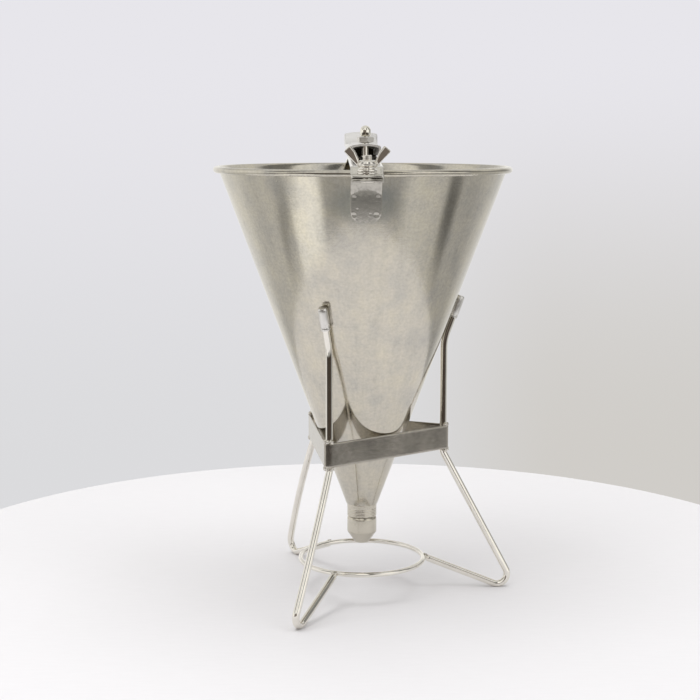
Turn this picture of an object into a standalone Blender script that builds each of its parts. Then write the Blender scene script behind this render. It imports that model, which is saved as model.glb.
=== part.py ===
# Pancake batter dispenser: a steel funnel with a thumb-lever valve, hung in a wire stand.
# Metres, +Z up. The lever lies in the YZ plane, its thumb end towards +Y.
# Everything is made about the funnel's axis with the ground at zero height, and is then
# moved as one so that the origin is the middle of the bounding box's bottom face.

import math

import bmesh
import bpy
from mathutils import Matrix, Vector

# Gaps between separate pieces
fit_gap = 0.0003
cut_overrun = 0.004
weld_distance = 0.0000001
sharp_angle = math.radians(32)

# Funnel
rim_radius = 0.100
rim_top_height = 0.2934
bead_radius = 0.00215
bead_start_share = 0.585
bead_end_share = 0.42
wall_thickness = 0.001
outlet_radius = 0.0108
outlet_height = 0.0620

# Outlet collar and nozzle
collar_radius = 0.0101
collar_length = 0.0085
collar_bore_radius = 0.0065
socket_radius = 0.0080
socket_depth = 0.0062
thread_groove = 0.00035
thread_turns = 5
nozzle_length = 0.0188
nozzle_edge = 0.0007
nozzle_edge_height = 0.0016
nozzle_taper_height = 0.0078
nozzle_tip_radius = 0.00465
nozzle_wall = 0.0020
nozzle_mouth_radius = 0.0032
nozzle_mouth_length = 0.0020

# Stand
ring_radius = 0.0425
ring_height = 0.0228
ring_wire_radius = 0.0017
leg_wire_radius = 0.0024
foot_bend_reaches = (0.0952, 0.0985, 0.0925)
foot_bend_radius = 0.0070
foot_flat_depth = 0.0004
leg_turn = math.radians(6.5)
foot_turns = (math.radians(-4.0), math.radians(-8.0), math.radians(-3.2))
leg_count = 3
band_top_height = 0.1154
band_height = 0.0165
band_thickness = 0.0009
knee_bend_radius = 0.0060
tip_bend_radius = 0.0340
tip_height = 0.2052
cap_length = 0.0150
cap_radius = 0.00315
cap_end = 0.0008

# Bridge strip and handle, one long strip
strip_width = 0.0200
strip_thickness = 0.0020
strip_bend_radius = 0.0016
strip_ease_share = 0.25
least_turn_share = 0.5
bridge_bow = 0.0039
bridge_flat = 0.0120
bow_start_inset = 0.0280
rim_clear = 0.0009
front_foot_length = 0.0170
riser_run = 0.0035
handle_run = 0.0436
handle_lean = 0.0060
handle_drop = 0.0760
handle_top_bend = 0.0220
handle_low_bend = 0.0200
handle_foot_rise = 0.0120
handle_foot_length = 0.0160
handle_foot_bend = 0.0050

# Rim brackets
bracket_width = 0.0195
bracket_thickness = 0.0015
bracket_drop = 0.0276
bracket_bend_radius = 0.0012
bracket_corner_radius = 0.0070
ledge_drop = 0.0047
ledge_end_trim = 0.0006
weld_dimple_radius = 0.0024
weld_dimple_depth = 0.0006
weld_spread = 0.0150
weld_rows = (0.0125, 0.0235)

# Wing nut, stud and washer
stud_radius = 0.0027
stud_top_above_hub = 0.0030
stud_head_radius = 0.0050
stud_head_height = 0.0025
stud_ease_share = 0.2
washer_radius = 0.0061
washer_thickness = 0.0010
hub_base_radius = 0.00635
hub_top_radius = 0.0052
hub_height = 0.0070
hub_flange_height = 0.0014
wing_span = 0.0284
wing_height = 0.0152
wing_root_thickness = 0.0032
wing_tip_thickness = 0.0022
wing_root_share = 0.82
wing_root_height_shares = (0.12, 0.42)
wing_outline_shares = ((0.44, 0.22), (1.0, 0.79), (0.94, 0.86), (0.76, 0.99), (0.70, 1.0), (0.60, 0.86),
                       (0.50, 0.68), (0.42, 0.52))

# Valve rod and its fittings
rod_radius = 0.0023
rod_end_in_cap = 0.0035
plug_top_radius = 0.0050
plug_length = 0.0095
plug_ease = 0.0010
plug_socket_depth = 0.0050
plug_lift_off_seat = 0.0003
nut_across_flats = 0.0100
nut_height = 0.0043
nut_ease_share = 0.125
nut_turn = math.radians(15)
cap_nut_radius = 0.00355
cap_nut_height = 0.0072
cap_nut_bevel = 0.0004

# Lever, and how far it and the rod's top sit to the right of the funnel's axis
mechanism_offset = 0.0018
lever_width = 0.0204
lever_thickness = 0.0014
lever_above_bridge = 0.0086
lever_arch = 0.0013
lever_nose = 0.0092
lever_tail = 0.0330
lever_front_depth = 0.0080
lever_pivot_depth = 0.0089
lever_flange_tail = 0.0180
lever_deepening = 0.0160
thumb_bend_radius = 0.0080
thumb_angle = math.radians(66)
thumb_rise = 0.0013
thumb_curl_radius = 0.0026
thumb_curl_angle = math.radians(125)
thumb_width = 0.0250
rod_slot_play = 0.0017

# Pivot
pivot_inset = 0.0120
pivot_below_lever = 0.0069
pivot_pin_radius = 0.00125
pivot_head_radius = 0.0024
pivot_head_thickness = 0.0009
pivot_crown_share = 0.8
ear_radius = 0.0040
ear_thickness = 0.0012
ear_base_thickness = 0.0012

# Return spring
spring_tail = 0.0290
spring_radius = 0.0040
spring_wire_radius = 0.0005
spring_turns = 6
spring_points = 9

# Rear rivets
rivet_radius = 0.0017
rivet_head_radius = 0.0032
rivet_head_height = 0.0012
rivet_spread = 0.0110
rivet_crown_share = 0.6
rivet_run = 0.0056
rear_ledge_run = 0.0121

# Counts of sides and steps
cone_sides = 72
turned_sides = 32
small_sides = 20
wire_sides = 12
ring_sides = 60
bend_steps = 5
arch_steps = 6
bead_steps = 14
hole_sides = 16
slot_steps = 8
dome_steps = 7
nut_points = 24
nut_sides = 6
dimple_steps = 2

# Values that follow from the sizes above
bead_centre_r = rim_radius - bead_radius
bead_centre_z = rim_top_height - bead_radius
bead_start = 2 * math.pi * bead_start_share
bead_end = 2 * math.pi * bead_end_share
wall_top_r = bead_centre_r + bead_radius * math.cos(bead_start)
wall_top_z = bead_centre_z + bead_radius * math.sin(bead_start)
wall_slope = (wall_top_r - outlet_radius) / (wall_top_z - outlet_height)
wall_angle = math.atan(wall_slope)
wall_step = wall_thickness / math.cos(wall_angle)


def cone_outer(z):
    """Outside radius of the funnel's wall at a height."""
    return outlet_radius + (z - outlet_height) * wall_slope


upright_radius = 2 * (cone_outer(band_top_height) - leg_wire_radius)
tip_offset = (cap_radius + fit_gap) / math.cos(wall_angle)
tip_bend_height = outlet_height + (upright_radius - tip_offset - outlet_radius) / wall_slope
band_bottom_height = band_top_height - band_height
bead_bottom = rim_top_height - 2 * bead_radius
ledge_top = bead_bottom - fit_gap
strip_over_rim = rim_top_height + fit_gap + strip_thickness / 2
strip_low = ledge_top + fit_gap + strip_thickness / 2
strip_high = strip_over_rim + bridge_bow
strip_top_low = strip_low + strip_thickness / 2
front_riser_top = rim_radius + rim_clear
front_riser_foot = front_riser_top + riser_run
front_end = front_riser_foot + front_foot_length
bridge_bow_start = rim_radius - bow_start_inset
handle_reach = front_riser_foot + handle_run
rivet_reach = front_riser_foot + rivet_run
rear_ledge_reach = front_riser_foot + rear_ledge_run
stud_reach = front_riser_foot + hub_base_radius + strip_thickness
washer_bottom = strip_top_low + fit_gap
hub_bottom = washer_bottom + washer_thickness + fit_gap
collar_top = outlet_height - fit_gap
collar_bottom = collar_top - collar_length
nozzle_top = collar_bottom - fit_gap
nozzle_bottom = nozzle_top - nozzle_length
lever_top_height = strip_high + strip_thickness / 2 + lever_above_bridge
lever_under = lever_top_height - lever_thickness
pivot_reach = rim_radius - pivot_inset
pivot_height = lever_top_height - pivot_below_lever
spring_reach = pivot_reach + spring_tail
lever_straight_end = pivot_reach + lever_tail
lever_flange_end = pivot_reach + lever_flange_tail
nut_bottom = lever_top_height + fit_gap
cap_nut_bottom = nut_bottom + nut_height + fit_gap
ear_outer = lever_width / 2 - lever_thickness - fit_gap
ear_base_bottom = strip_over_rim + strip_thickness / 2 + fit_gap


def new_material(name, colour, roughness):
    """A bare steel finish."""
    material = bpy.data.materials.new(name)
    material.use_nodes = True
    shader = material.node_tree.nodes["Principled BSDF"]
    shader.inputs["Base Color"].default_value = (*colour, 1.0)
    shader.inputs["Metallic"].default_value = 1.0
    shader.inputs["Roughness"].default_value = roughness
    return material


def finish(name, bm, colour, roughness, joint=None):
    """Turns a bmesh into a named object with its own material, its origin on its joint."""
    bmesh.ops.remove_doubles(bm, verts=bm.verts, dist=weld_distance)
    bmesh.ops.recalc_face_normals(bm, faces=bm.faces)
    if joint is not None:
        bmesh.ops.translate(bm, verts=bm.verts, vec=-Vector(joint))
    mesh = bpy.data.meshes.new(name)
    bm.to_mesh(mesh)
    bm.free()
    mesh.shade_smooth()
    mesh.set_sharp_from_angle(angle=sharp_angle)
    piece = bpy.data.objects.new(name, mesh)
    bpy.context.scene.collection.objects.link(piece)
    piece.location = Vector(joint) if joint is not None else Vector()
    mesh.materials.append(new_material(name + "_finish", colour, roughness))
    return piece


def cut(piece, name, bm):
    """Cuts a closed shape out of a piece."""
    bmesh.ops.recalc_face_normals(bm, faces=bm.faces)
    mesh = bpy.data.meshes.new(name)
    bm.to_mesh(mesh)
    bm.free()
    cutter = bpy.data.objects.new(name, mesh)
    bpy.context.scene.collection.objects.link(cutter)
    cutter.hide_render = True
    cutter.display_type = "WIRE"
    modifier = piece.modifiers.new(name, "BOOLEAN")
    modifier.operation = "DIFFERENCE"
    modifier.solver = "EXACT"
    modifier.object = cutter
    return cutter


def turned(points, sides, bm=None, place=None):
    """A closed outline of (radius, height) points spun about Z."""
    bm = bm or bmesh.new()
    rings = []
    for radius, height in points:
        if radius == 0:
            rings.append([bm.verts.new((0, 0, height))])
            continue
        steps = [2 * math.pi * i / sides for i in range(sides)]
        rings.append([bm.verts.new((radius * math.cos(a), radius * math.sin(a), height)) for a in steps])
    for lower, upper in zip(rings, rings[1:] + rings[:1]):
        join_rings(bm, lower, upper)
    if place is not None:
        fresh = [v for ring in rings for v in ring]
        bmesh.ops.transform(bm, matrix=place, verts=fresh)
    return bm


def join_rings(bm, lower, upper):
    """Faces between two rings, or between a ring and a point on the axis."""
    if len(lower) == 1 and len(upper) == 1:
        return
    count = max(len(lower), len(upper))
    for i in range(count):
        j = (i + 1) % count
        if len(lower) == 1:
            bm.faces.new((lower[0], upper[j], upper[i]))
        elif len(upper) == 1:
            bm.faces.new((lower[i], lower[j], upper[0]))
        else:
            bm.faces.new((lower[i], lower[j], upper[j], upper[i]))


def arc(centre, radius, start, end, steps):
    """Points of an arc in a plane, both ends included."""
    turn = [start + (end - start) * i / steps for i in range(steps + 1)]
    return [(centre[0] + radius * math.cos(a), centre[1] + radius * math.sin(a)) for a in turn]


def rounded(corners, radii, steps):
    """A path with each inner corner rounded to its own radius; works in the plane or in space."""
    corners = [Vector(c) for c in corners]
    path = [corners[0]]
    for before, corner, after, radius in zip(corners, corners[1:], corners[2:], radii):
        back = (before - corner).normalized()
        ahead = (after - corner).normalized()
        half = back.angle(ahead) / 2
        reach = radius / math.tan(half)
        middle = (back + ahead).normalized()
        centre = corner + middle * (radius / math.sin(half))
        start = corner + back * reach - centre
        end = corner + ahead * reach - centre
        for i in range(steps + 1):
            direction = start.lerp(end, i / steps).normalized()
            path.append(centre + direction * radius)
    path.append(corners[-1])
    return path


def swept(path, shape_at, bm=None, closed=False):
    """Carries a flat outline along a path; shape_at(i) gives the outline at each point."""
    bm = bm or bmesh.new()
    path = [Vector(p) for p in path]
    count = len(path)
    rings = []
    side = None
    for i, point in enumerate(path):
        if closed:
            ahead = (path[(i + 1) % count] - path[i - 1]).normalized()
        elif i == 0:
            ahead = (path[1] - path[0]).normalized()
        elif i == count - 1:
            ahead = (path[-1] - path[-2]).normalized()
        else:
            ahead = ((path[i + 1] - point).normalized() + (point - path[i - 1]).normalized()).normalized()
        if side is None:
            side = ahead.orthogonal().normalized()
        side = (side - ahead * side.dot(ahead)).normalized()
        up = ahead.cross(side)
        rings.append([bm.verts.new(point + side * u + up * v) for u, v in shape_at(i)])
    pairs = list(zip(rings, rings[1:]))
    if closed:
        pairs.append((rings[-1], rings[0]))
    for lower, upper in pairs:
        join_rings(bm, lower, upper)
    if not closed:
        bm.faces.new(rings[0])
        bm.faces.new(rings[-1])
    return bm


def wire(path, radius, sides, bm=None, closed=False):
    """A round wire along a path."""
    circle = [(radius * math.cos(2 * math.pi * k / sides), radius * math.sin(2 * math.pi * k / sides))
              for k in range(sides)]
    return swept(path, lambda i: circle, bm, closed)


def strip(path, outline_at, bm=None):
    """A bent sheet strip: path points are (y, z), outlines are (x, height above the path)."""
    bm = bm or bmesh.new()
    count = len(path)
    rings = []
    for i, (y, z) in enumerate(path):
        before = Vector(path[max(i - 1, 0)])
        after = Vector(path[min(i + 1, count - 1)])
        here = Vector((y, z))
        ahead = Vector((0, 0))
        if i > 0:
            ahead += (here - before).normalized()
        if i < count - 1:
            ahead += (after - here).normalized()
        ahead.normalize()
        if 0 < i < count - 1:
            stretch = 1 / max(ahead.dot((after - here).normalized()), least_turn_share)
        else:
            stretch = 1
        up = Vector((-ahead.y, ahead.x)) * stretch
        rings.append([bm.verts.new((x, y + up.x * h, z + up.y * h)) for x, h in outline_at(i)])
    for lower, upper in zip(rings, rings[1:]):
        join_rings(bm, lower, upper)
    bm.faces.new(rings[0])
    bm.faces.new(rings[-1])
    return bm


def flat_outline(width, thickness):
    """The section of a flat strip with its four edges eased."""
    x = width / 2
    h = thickness / 2
    ease = thickness * strip_ease_share
    return [(x - ease, -h), (x, -h + ease), (x, h - ease), (x - ease, h),
            (-x + ease, h), (-x, h - ease), (-x, -h + ease), (-x + ease, -h)]


def slab(outline, low, high, axis="Z"):
    """A closed outline pulled straight along an axis between two places."""
    bm = bmesh.new()
    turn = {"Z": Matrix.Identity(3), "X": Matrix(((0, 0, 1), (1, 0, 0), (0, 1, 0))),
            "Y": Matrix(((1, 0, 0), (0, 0, -1), (0, 1, 0)))}[axis]
    ends = []
    for level in (low, high):
        along = -level if axis == "Y" else level
        ends.append([bm.verts.new(turn @ Vector((u, v, along))) for u, v in outline])
    join_rings(bm, ends[0], ends[1])
    bm.faces.new(ends[0])
    bm.faces.new(ends[1])
    return bm


def funnel_cone():
    """The sheet funnel with its rolled rim, one closed wall."""
    inner_top = arc((bead_centre_r, bead_centre_z), bead_radius, bead_start,
                    bead_end + 2 * math.pi, bead_steps)
    inner_r = outlet_radius - wall_step
    lean_top = wall_top_z + bead_radius / 2
    lean_r = cone_outer(lean_top) - wall_step
    points = [(outlet_radius, outlet_height)] + inner_top + [(lean_r, lean_top), (inner_r, outlet_height)]
    return finish("funnel_cone", turned(points, cone_sides), (0.62, 0.59, 0.53), 0.32)


def outlet_collar():
    """The turned collar under the cone, threaded outside, with a socket for the nozzle."""
    low = collar_bottom
    pitch = collar_length / (thread_turns + 2)
    points = [(collar_radius - thread_groove, low), (collar_radius, low + thread_groove)]
    for turn in range(thread_turns):
        z = low + pitch * (turn + 1)
        points += [(collar_radius, z - thread_groove), (collar_radius - thread_groove, z),
                   (collar_radius, z + thread_groove)]
    points += [(collar_radius, collar_top - thread_groove), (collar_radius - thread_groove, collar_top)]
    points += [(collar_radius - 2 * wall_step, collar_top), (collar_bore_radius, collar_top - wall_step)]
    shoulder = low + socket_depth + fit_gap
    points += [(collar_bore_radius, shoulder), (socket_radius, shoulder), (socket_radius, low)]
    return finish("outlet_collar", turned(points, turned_sides), (0.60, 0.57, 0.50), 0.35)


def seat_profile():
    """Radius and height of the two ends of the nozzle's conical seat."""
    low = (nozzle_mouth_radius, nozzle_bottom + nozzle_mouth_length)
    high = (collar_radius - 2 * nozzle_wall, nozzle_bottom + nozzle_taper_height)
    return low, high


def nozzle():
    """The screw-in nozzle: spigot, straight body and tapered tip, with the valve's seat inside."""
    low, high = seat_profile()
    spigot = socket_radius - fit_gap
    points = [(nozzle_tip_radius, nozzle_bottom), (collar_radius, nozzle_bottom + nozzle_taper_height)]
    points += [(collar_radius, nozzle_top - nozzle_edge_height), (collar_radius - nozzle_edge, nozzle_top)]
    points += [(spigot, nozzle_top), (spigot, nozzle_top + socket_depth), (high[0], nozzle_top + socket_depth)]
    points += [high, low, (nozzle_mouth_radius, nozzle_bottom)]
    return finish("nozzle", turned(points, turned_sides), (0.60, 0.57, 0.50), 0.35, joint=(0, 0, nozzle_top))


def base_ring():
    """The wire ring that ties the feet together."""
    turns = [2 * math.pi * i / ring_sides for i in range(ring_sides)]
    path = [(ring_radius * math.cos(a), ring_radius * math.sin(a), ring_height) for a in turns]
    return finish("base_ring", wire(path, ring_wire_radius, wire_sides, closed=True), (0.68, 0.66, 0.60), 0.22)


def leg_profile(index):
    """Centre line of one leg wire as (radius, height): foot wire, foot bend, leg, upright, tip."""
    centre = Vector((foot_bend_reaches[index], foot_bend_radius + leg_wire_radius - foot_flat_depth))
    knee = Vector((upright_radius, band_bottom_height - leg_wire_radius))
    ring_end = Vector((ring_radius, ring_height))
    inner = tangent_point(ring_end, centre, foot_bend_radius, 1)
    outer = tangent_point(knee, centre, foot_bend_radius, -1)
    start = ring_end + (inner - ring_end).normalized() * (ring_wire_radius + fit_gap)
    a = math.atan2(inner.y - centre.y, inner.x - centre.x)
    b = math.atan2(outer.y - centre.y, outer.x - centre.x)
    path = [start, start.lerp(inner, 0.5)]
    path += [Vector(p) for p in arc(centre, foot_bend_radius, a, b, 2 * bend_steps)]
    bend = Vector((upright_radius, tip_bend_height))
    tip = Vector((cone_outer(tip_height) + tip_offset, tip_height))
    upper = rounded([outer, knee, bend, tip], [knee_bend_radius, tip_bend_radius], bend_steps)
    return path + [outer.lerp(upper[1], 0.5)] + upper[1:]


def tangent_point(point, centre, radius, side):
    """Where a line from a point touches a circle, on one side of it."""
    gap = centre - point
    turn = math.acos(radius / gap.length)
    back = math.atan2(-gap.y, -gap.x) + side * turn
    return centre + Vector((math.cos(back), math.sin(back))) * radius


def leg_azimuth(index, height):
    """Azimuth of a leg: the upright's own, turning a little towards the foot."""
    knee_height = band_bottom_height - leg_wire_radius
    share = min(max((knee_height - height) / knee_height, 0), 1)
    return leg_turn + 2 * math.pi * index / leg_count + foot_turns[index] * share


def leg_path(index):
    """One leg wire in space."""
    path = []
    for radius, height in leg_profile(index):
        azimuth = leg_azimuth(index, height)
        path.append(Vector((radius * math.cos(azimuth), radius * math.sin(azimuth), height)))
    return path


def leg(index, name):
    """One bent leg wire with a small flat where it stands."""
    bm = wire(leg_path(index), leg_wire_radius, wire_sides)
    everything = bm.verts[:] + bm.edges[:] + bm.faces[:]
    cut_edges = bmesh.ops.bisect_plane(bm, geom=everything, plane_co=(0, 0, 0), plane_no=(0, 0, 1),
                                       clear_inner=True)["geom_cut"]
    rim = [edge for edge in cut_edges if isinstance(edge, bmesh.types.BMEdge)]
    bmesh.ops.edgeloop_fill(bm, edges=rim)
    return finish(name, bm, (0.66, 0.64, 0.58), 0.25)


def cradle_band():
    """The triangular band round the three uprights, on which the cone rests."""
    inner = leg_wire_radius + fit_gap
    loops = []
    for reach in (inner, inner + band_thickness):
        loop = []
        for index in range(leg_count):
            azimuth = leg_turn + 2 * math.pi * index / leg_count
            centre = (upright_radius * math.cos(azimuth), upright_radius * math.sin(azimuth))
            spread = math.pi / leg_count
            loop += arc(centre, reach, azimuth - spread, azimuth + spread, 2 * bend_steps)
        loops.append(loop)
    bm = bmesh.new()
    rings = []
    for loop, level in ((loops[0], band_bottom_height), (loops[1], band_bottom_height),
                        (loops[1], band_top_height), (loops[0], band_top_height)):
        rings.append([bm.verts.new((x, y, level)) for x, y in loop])
    for lower, upper in zip(rings, rings[1:] + rings[:1]):
        join_rings(bm, lower, upper)
    return finish("cradle_band", bm, (0.42, 0.40, 0.37), 0.38)


def tip_cap(index, name):
    """A grey cap over the end of an upright."""
    path = leg_path(index)
    end = path[-1]
    ahead = (path[-1] - path[-2]).normalized()
    inner = leg_wire_radius + fit_gap
    start = -cap_length + fit_gap
    points = [(inner, start), (cap_radius, start), (cap_radius, cap_end / 2 + fit_gap)]
    points += [(cap_radius - cap_end / 2, cap_end + fit_gap), (0, cap_end + fit_gap)]
    points += [(0, fit_gap), (inner, fit_gap)]
    place = Matrix.Translation(end) @ ahead.to_track_quat("Z", "Y").to_matrix().to_4x4()
    return finish(name, turned(points, small_sides, place=place), (0.45, 0.44, 0.42), 0.5)


def bracket_corners(ledge_reach):
    """Mid line of a rim bracket, from its lower end up the cone and out along the ledge."""
    level = ledge_top - bracket_thickness / 2
    offset = (bracket_thickness / 2 + fit_gap) / math.cos(wall_angle)
    low = rim_top_height - ledge_drop - bracket_drop
    return [(cone_outer(low) + offset, low), (cone_outer(level) + offset, level), (ledge_reach, level)]


def bracket_path(ledge_reach):
    """Mid line with its bend rounded and steps for the rounded lower end."""
    line = rounded(bracket_corners(ledge_reach), [bracket_bend_radius + bracket_thickness / 2], bend_steps)
    up = (line[1] - line[0]).normalized()
    lower = []
    for i in range(bend_steps):
        angle = math.pi / 2 * i / bend_steps
        lower.append((line[0] + up * bracket_corner_radius * (1 - math.cos(angle)), math.sin(angle)))
    return lower, line[1:]


def rim_bracket(name, ledge_reach, facing):
    """A strip fixed to the cone under the rim, bent out into a ledge."""
    lower, upper = bracket_path(ledge_reach)
    path = [p for p, share in lower] + list(upper)
    flat_end = bracket_width / 2 - bracket_corner_radius

    def outline_at(i):
        half = bracket_width / 2
        if i < len(lower):
            half = flat_end + bracket_corner_radius * lower[i][1]
        return flat_outline(2 * half, bracket_thickness)

    bm = strip([(p.x * facing, p.y) for p in path], outline_at)
    return finish(name, bm, (0.55, 0.53, 0.48), 0.20)


def front_bracket():
    """The front bracket with its stud hole and four spot-weld dimples."""
    piece = rim_bracket("front_bracket", front_end + ledge_end_trim, -1)
    cutters = [cut(piece, "stud_hole", round_hole(stud_radius + fit_gap, (0, -stud_reach, ledge_top)))]
    offset = (bracket_thickness + fit_gap) / math.cos(wall_angle)
    for row, drop in enumerate(weld_rows):
        for side in (-1, 1):
            z = ledge_top - drop
            sink = weld_dimple_radius - weld_dimple_depth
            y = -(cone_outer(z) + offset + sink * math.cos(wall_angle))
            bm = bmesh.new()
            place = Matrix.Translation((side * weld_spread / 2, y, z - sink * math.sin(wall_angle)))
            bmesh.ops.create_icosphere(bm, subdivisions=dimple_steps, radius=weld_dimple_radius, matrix=place)
            cutters.append(cut(piece, "weld_dimple_%d_%d" % (row, side + 1), bm))
    return [piece] + cutters


def rear_bracket():
    """The rear bracket, riveted under the strip where it leaves the rim."""
    piece = rim_bracket("rear_bracket", rear_ledge_reach, 1)
    return [piece] + [cut(piece, "rear_hole_%d" % (side + 1), rivet_hole(side)) for side in (-1, 1)]


def round_hole(radius, centre):
    """An upright cutter for a round hole."""
    outline = [(0, -cut_overrun), (radius, -cut_overrun), (radius, cut_overrun), (0, cut_overrun)]
    return turned(outline, small_sides, place=Matrix.Translation(centre))


def rivet_hole(side):
    """A clearance hole for one rear rivet."""
    return round_hole(rivet_radius + fit_gap, (side * rivet_spread / 2, rivet_reach, ledge_top))


def handle_corners():
    """Mid line of the strip from the front foot over the funnel to the handle's foot."""
    low_z = strip_low - handle_drop
    foot_z = low_z - handle_foot_rise
    offset = (strip_thickness / 2 + fit_gap) / math.cos(wall_angle)
    end_z = foot_z - handle_foot_length * math.cos(wall_angle)
    return [(-front_end, strip_low), (-front_riser_foot, strip_low), (-front_riser_top, strip_over_rim),
            (-bridge_flat, strip_high), (bridge_flat, strip_high), (bridge_bow_start, strip_over_rim),
            (front_riser_top, strip_over_rim), (front_riser_foot, strip_low), (handle_reach, strip_low),
            (handle_reach - handle_lean, low_z), (cone_outer(foot_z) + offset, foot_z),
            (cone_outer(end_z) + offset, end_z)]


def bridge_and_handle():
    """One long strip: clamped foot, bowed bridge across the funnel, and D-shaped handle."""
    bend = strip_bend_radius + strip_thickness / 2
    radii = [bend, bend, bend, bend, bend, bend, bend, handle_top_bend, handle_low_bend, handle_foot_bend]
    path = rounded(handle_corners(), radii, bend_steps)
    section = flat_outline(strip_width, strip_thickness)
    bm = strip([tuple(p) for p in path], lambda i: section)
    piece = finish("bridge_handle", bm, (0.62, 0.60, 0.54), 0.24)
    cutters = []
    for name, radius, centre in (("rod_hole", rod_radius + fit_gap, (rod_lean(strip_high), 0, strip_high)),
                                 ("clamp_hole", stud_radius + fit_gap, (0, -stud_reach, strip_low))):
        cutters.append(cut(piece, name, round_hole(radius, centre)))
    cutters += [cut(piece, "handle_hole_%d" % (side + 1), rivet_hole(side)) for side in (-1, 1)]
    return [piece] + cutters


def clamp_stud():
    """The stud that stands in the front ledge, its low head under it."""
    under = ledge_top - bracket_thickness - fit_gap
    top = hub_bottom + hub_height + stud_top_above_hub
    ease = stud_radius * stud_ease_share
    points = [(0, under - stud_head_height), (stud_head_radius - ease, under - stud_head_height),
              (stud_head_radius, under - stud_head_height + ease), (stud_head_radius, under),
              (stud_radius, under), (stud_radius, top - ease), (stud_radius - ease, top), (0, top)]
    place = Matrix.Translation((0, -stud_reach, 0))
    return finish("clamp_stud", turned(points, small_sides, place=place), (0.60, 0.58, 0.54), 0.3)


def clamp_washer():
    """The plain washer under the wing nut."""
    inner = stud_radius + fit_gap
    washer_top = washer_bottom + washer_thickness
    points = [(inner, washer_bottom), (washer_radius, washer_bottom), (washer_radius, washer_top),
              (inner, washer_top)]
    place = Matrix.Translation((0, -stud_reach, 0))
    return finish("clamp_washer", turned(points, turned_sides, place=place), (0.60, 0.58, 0.54), 0.25)


def wing_outline():
    """One wing seen from the front, right side, from the hub's foot."""
    x = wing_span / 2
    z = wing_height
    root = hub_top_radius * wing_root_share
    low, high = wing_root_height_shares
    return [(root, z * low)] + [(x * a, z * b) for a, b in wing_outline_shares] + [(root, z * high)]


def wing_nut():
    """The wing nut: a round hub with two upswept wings."""
    inner = stud_radius + fit_gap
    ease = hub_flange_height / 3
    points = [(inner, 0), (hub_base_radius - ease, 0), (hub_base_radius, ease)]
    points += [(hub_base_radius, hub_flange_height), (hub_base_radius - 2 * ease, hub_flange_height + ease)]
    points += [(hub_top_radius, hub_height - ease), (hub_top_radius - ease, hub_height), (inner, hub_height)]
    piece = finish("wing_nut", turned(points, turned_sides), (0.58, 0.56, 0.52), 0.22)
    piece.location = (0, -stud_reach, hub_bottom)
    helpers = []
    for side in (-1, 1):
        outline = [(u * side, v) for u, v in wing_outline()]
        bm = slab(outline, -wing_root_thickness / 2, wing_root_thickness / 2, axis="Y")
        taper = wing_tip_thickness / wing_root_thickness
        for vert in bm.verts:
            out = abs(vert.co.x) / (wing_span / 2)
            vert.co.y *= 1 + (taper - 1) * out
        wing = cut(piece, "wing_%d" % (side + 1), bm)
        wing.location = piece.location
        piece.modifiers["wing_%d" % (side + 1)].operation = "UNION"
        helpers.append(wing)
    return [piece] + helpers


def rod_lean(height):
    """How far the rod's centre is from the funnel's axis at a height: it leans from the plug to the lever."""
    bottom, top = plug_span()
    return mechanism_offset * (height - top) / (cap_nut_bottom - top)


def valve_rod():
    """The rod from the plug up through the bridge and the lever to the cap nut."""
    low, high = plug_span()
    bottom = high - plug_socket_depth + fit_gap
    top = cap_nut_bottom + rod_end_in_cap
    points = [(0, bottom), (rod_radius, bottom), (rod_radius, top), (0, top)]
    bm = turned(points, small_sides)
    for vert in bm.verts:
        vert.co.x += rod_lean(vert.co.z)
    return finish("valve_rod", bm, (0.66, 0.64, 0.58), 0.2, joint=(0, 0, cap_nut_bottom))


def plug_span():
    """Lowest and highest level of the valve plug, worked out from the nozzle's seat."""
    low, high = seat_profile()
    slope = (high[0] - low[0]) / (high[1] - low[1])
    seat_gap = plug_lift_off_seat * math.sqrt(1 + slope * slope)
    bottom = low[1]
    return bottom + seat_gap / slope, bottom + seat_gap / slope + plug_length


def valve_plug():
    """The plug: a cone that closes the nozzle's seat, with a skirt and a socket for the rod."""
    low, high = seat_profile()
    slope = (high[0] - low[0]) / (high[1] - low[1])
    bottom, top = plug_span()
    waist = bottom + (plug_top_radius - nozzle_mouth_radius) / slope
    socket = rod_radius + fit_gap
    points = [(0, bottom), (nozzle_mouth_radius, bottom), (plug_top_radius, waist)]
    points += [(plug_top_radius, top - plug_ease), (plug_top_radius - plug_ease, top), (socket, top)]
    points += [(socket, top - plug_socket_depth), (0, top - plug_socket_depth)]
    bm = turned(points, turned_sides)
    return finish("valve_plug", bm, (0.60, 0.57, 0.50), 0.35, joint=(0, 0, cap_nut_bottom))


def lock_nut():
    """The hexagon nut that sits on the lever."""
    corner = nut_across_flats / 2 / math.cos(math.pi / nut_sides)
    ease = nut_height * nut_ease_share
    bm = bmesh.new()
    rings = []
    top = nut_bottom + nut_height
    for radius, z in ((corner - ease, nut_bottom), (corner, nut_bottom + ease), (corner, top - ease),
                      (corner - ease, top)):
        rings.append(hexagon(bm, radius, z))
    for radius, z in ((rod_radius + fit_gap, top), (rod_radius + fit_gap, nut_bottom)):
        turns = [2 * math.pi * i / nut_points + nut_turn - math.pi / 2 for i in range(nut_points)]
        rings.append([bm.verts.new((radius * math.cos(a), radius * math.sin(a), z)) for a in turns])
    for lower, upper in zip(rings, rings[1:] + rings[:1]):
        join_rings(bm, lower, upper)
    bmesh.ops.translate(bm, verts=bm.verts, vec=(mechanism_offset, 0, 0))
    return finish("lock_nut", bm, (0.50, 0.48, 0.45), 0.35, joint=(0, 0, cap_nut_bottom))


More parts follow.
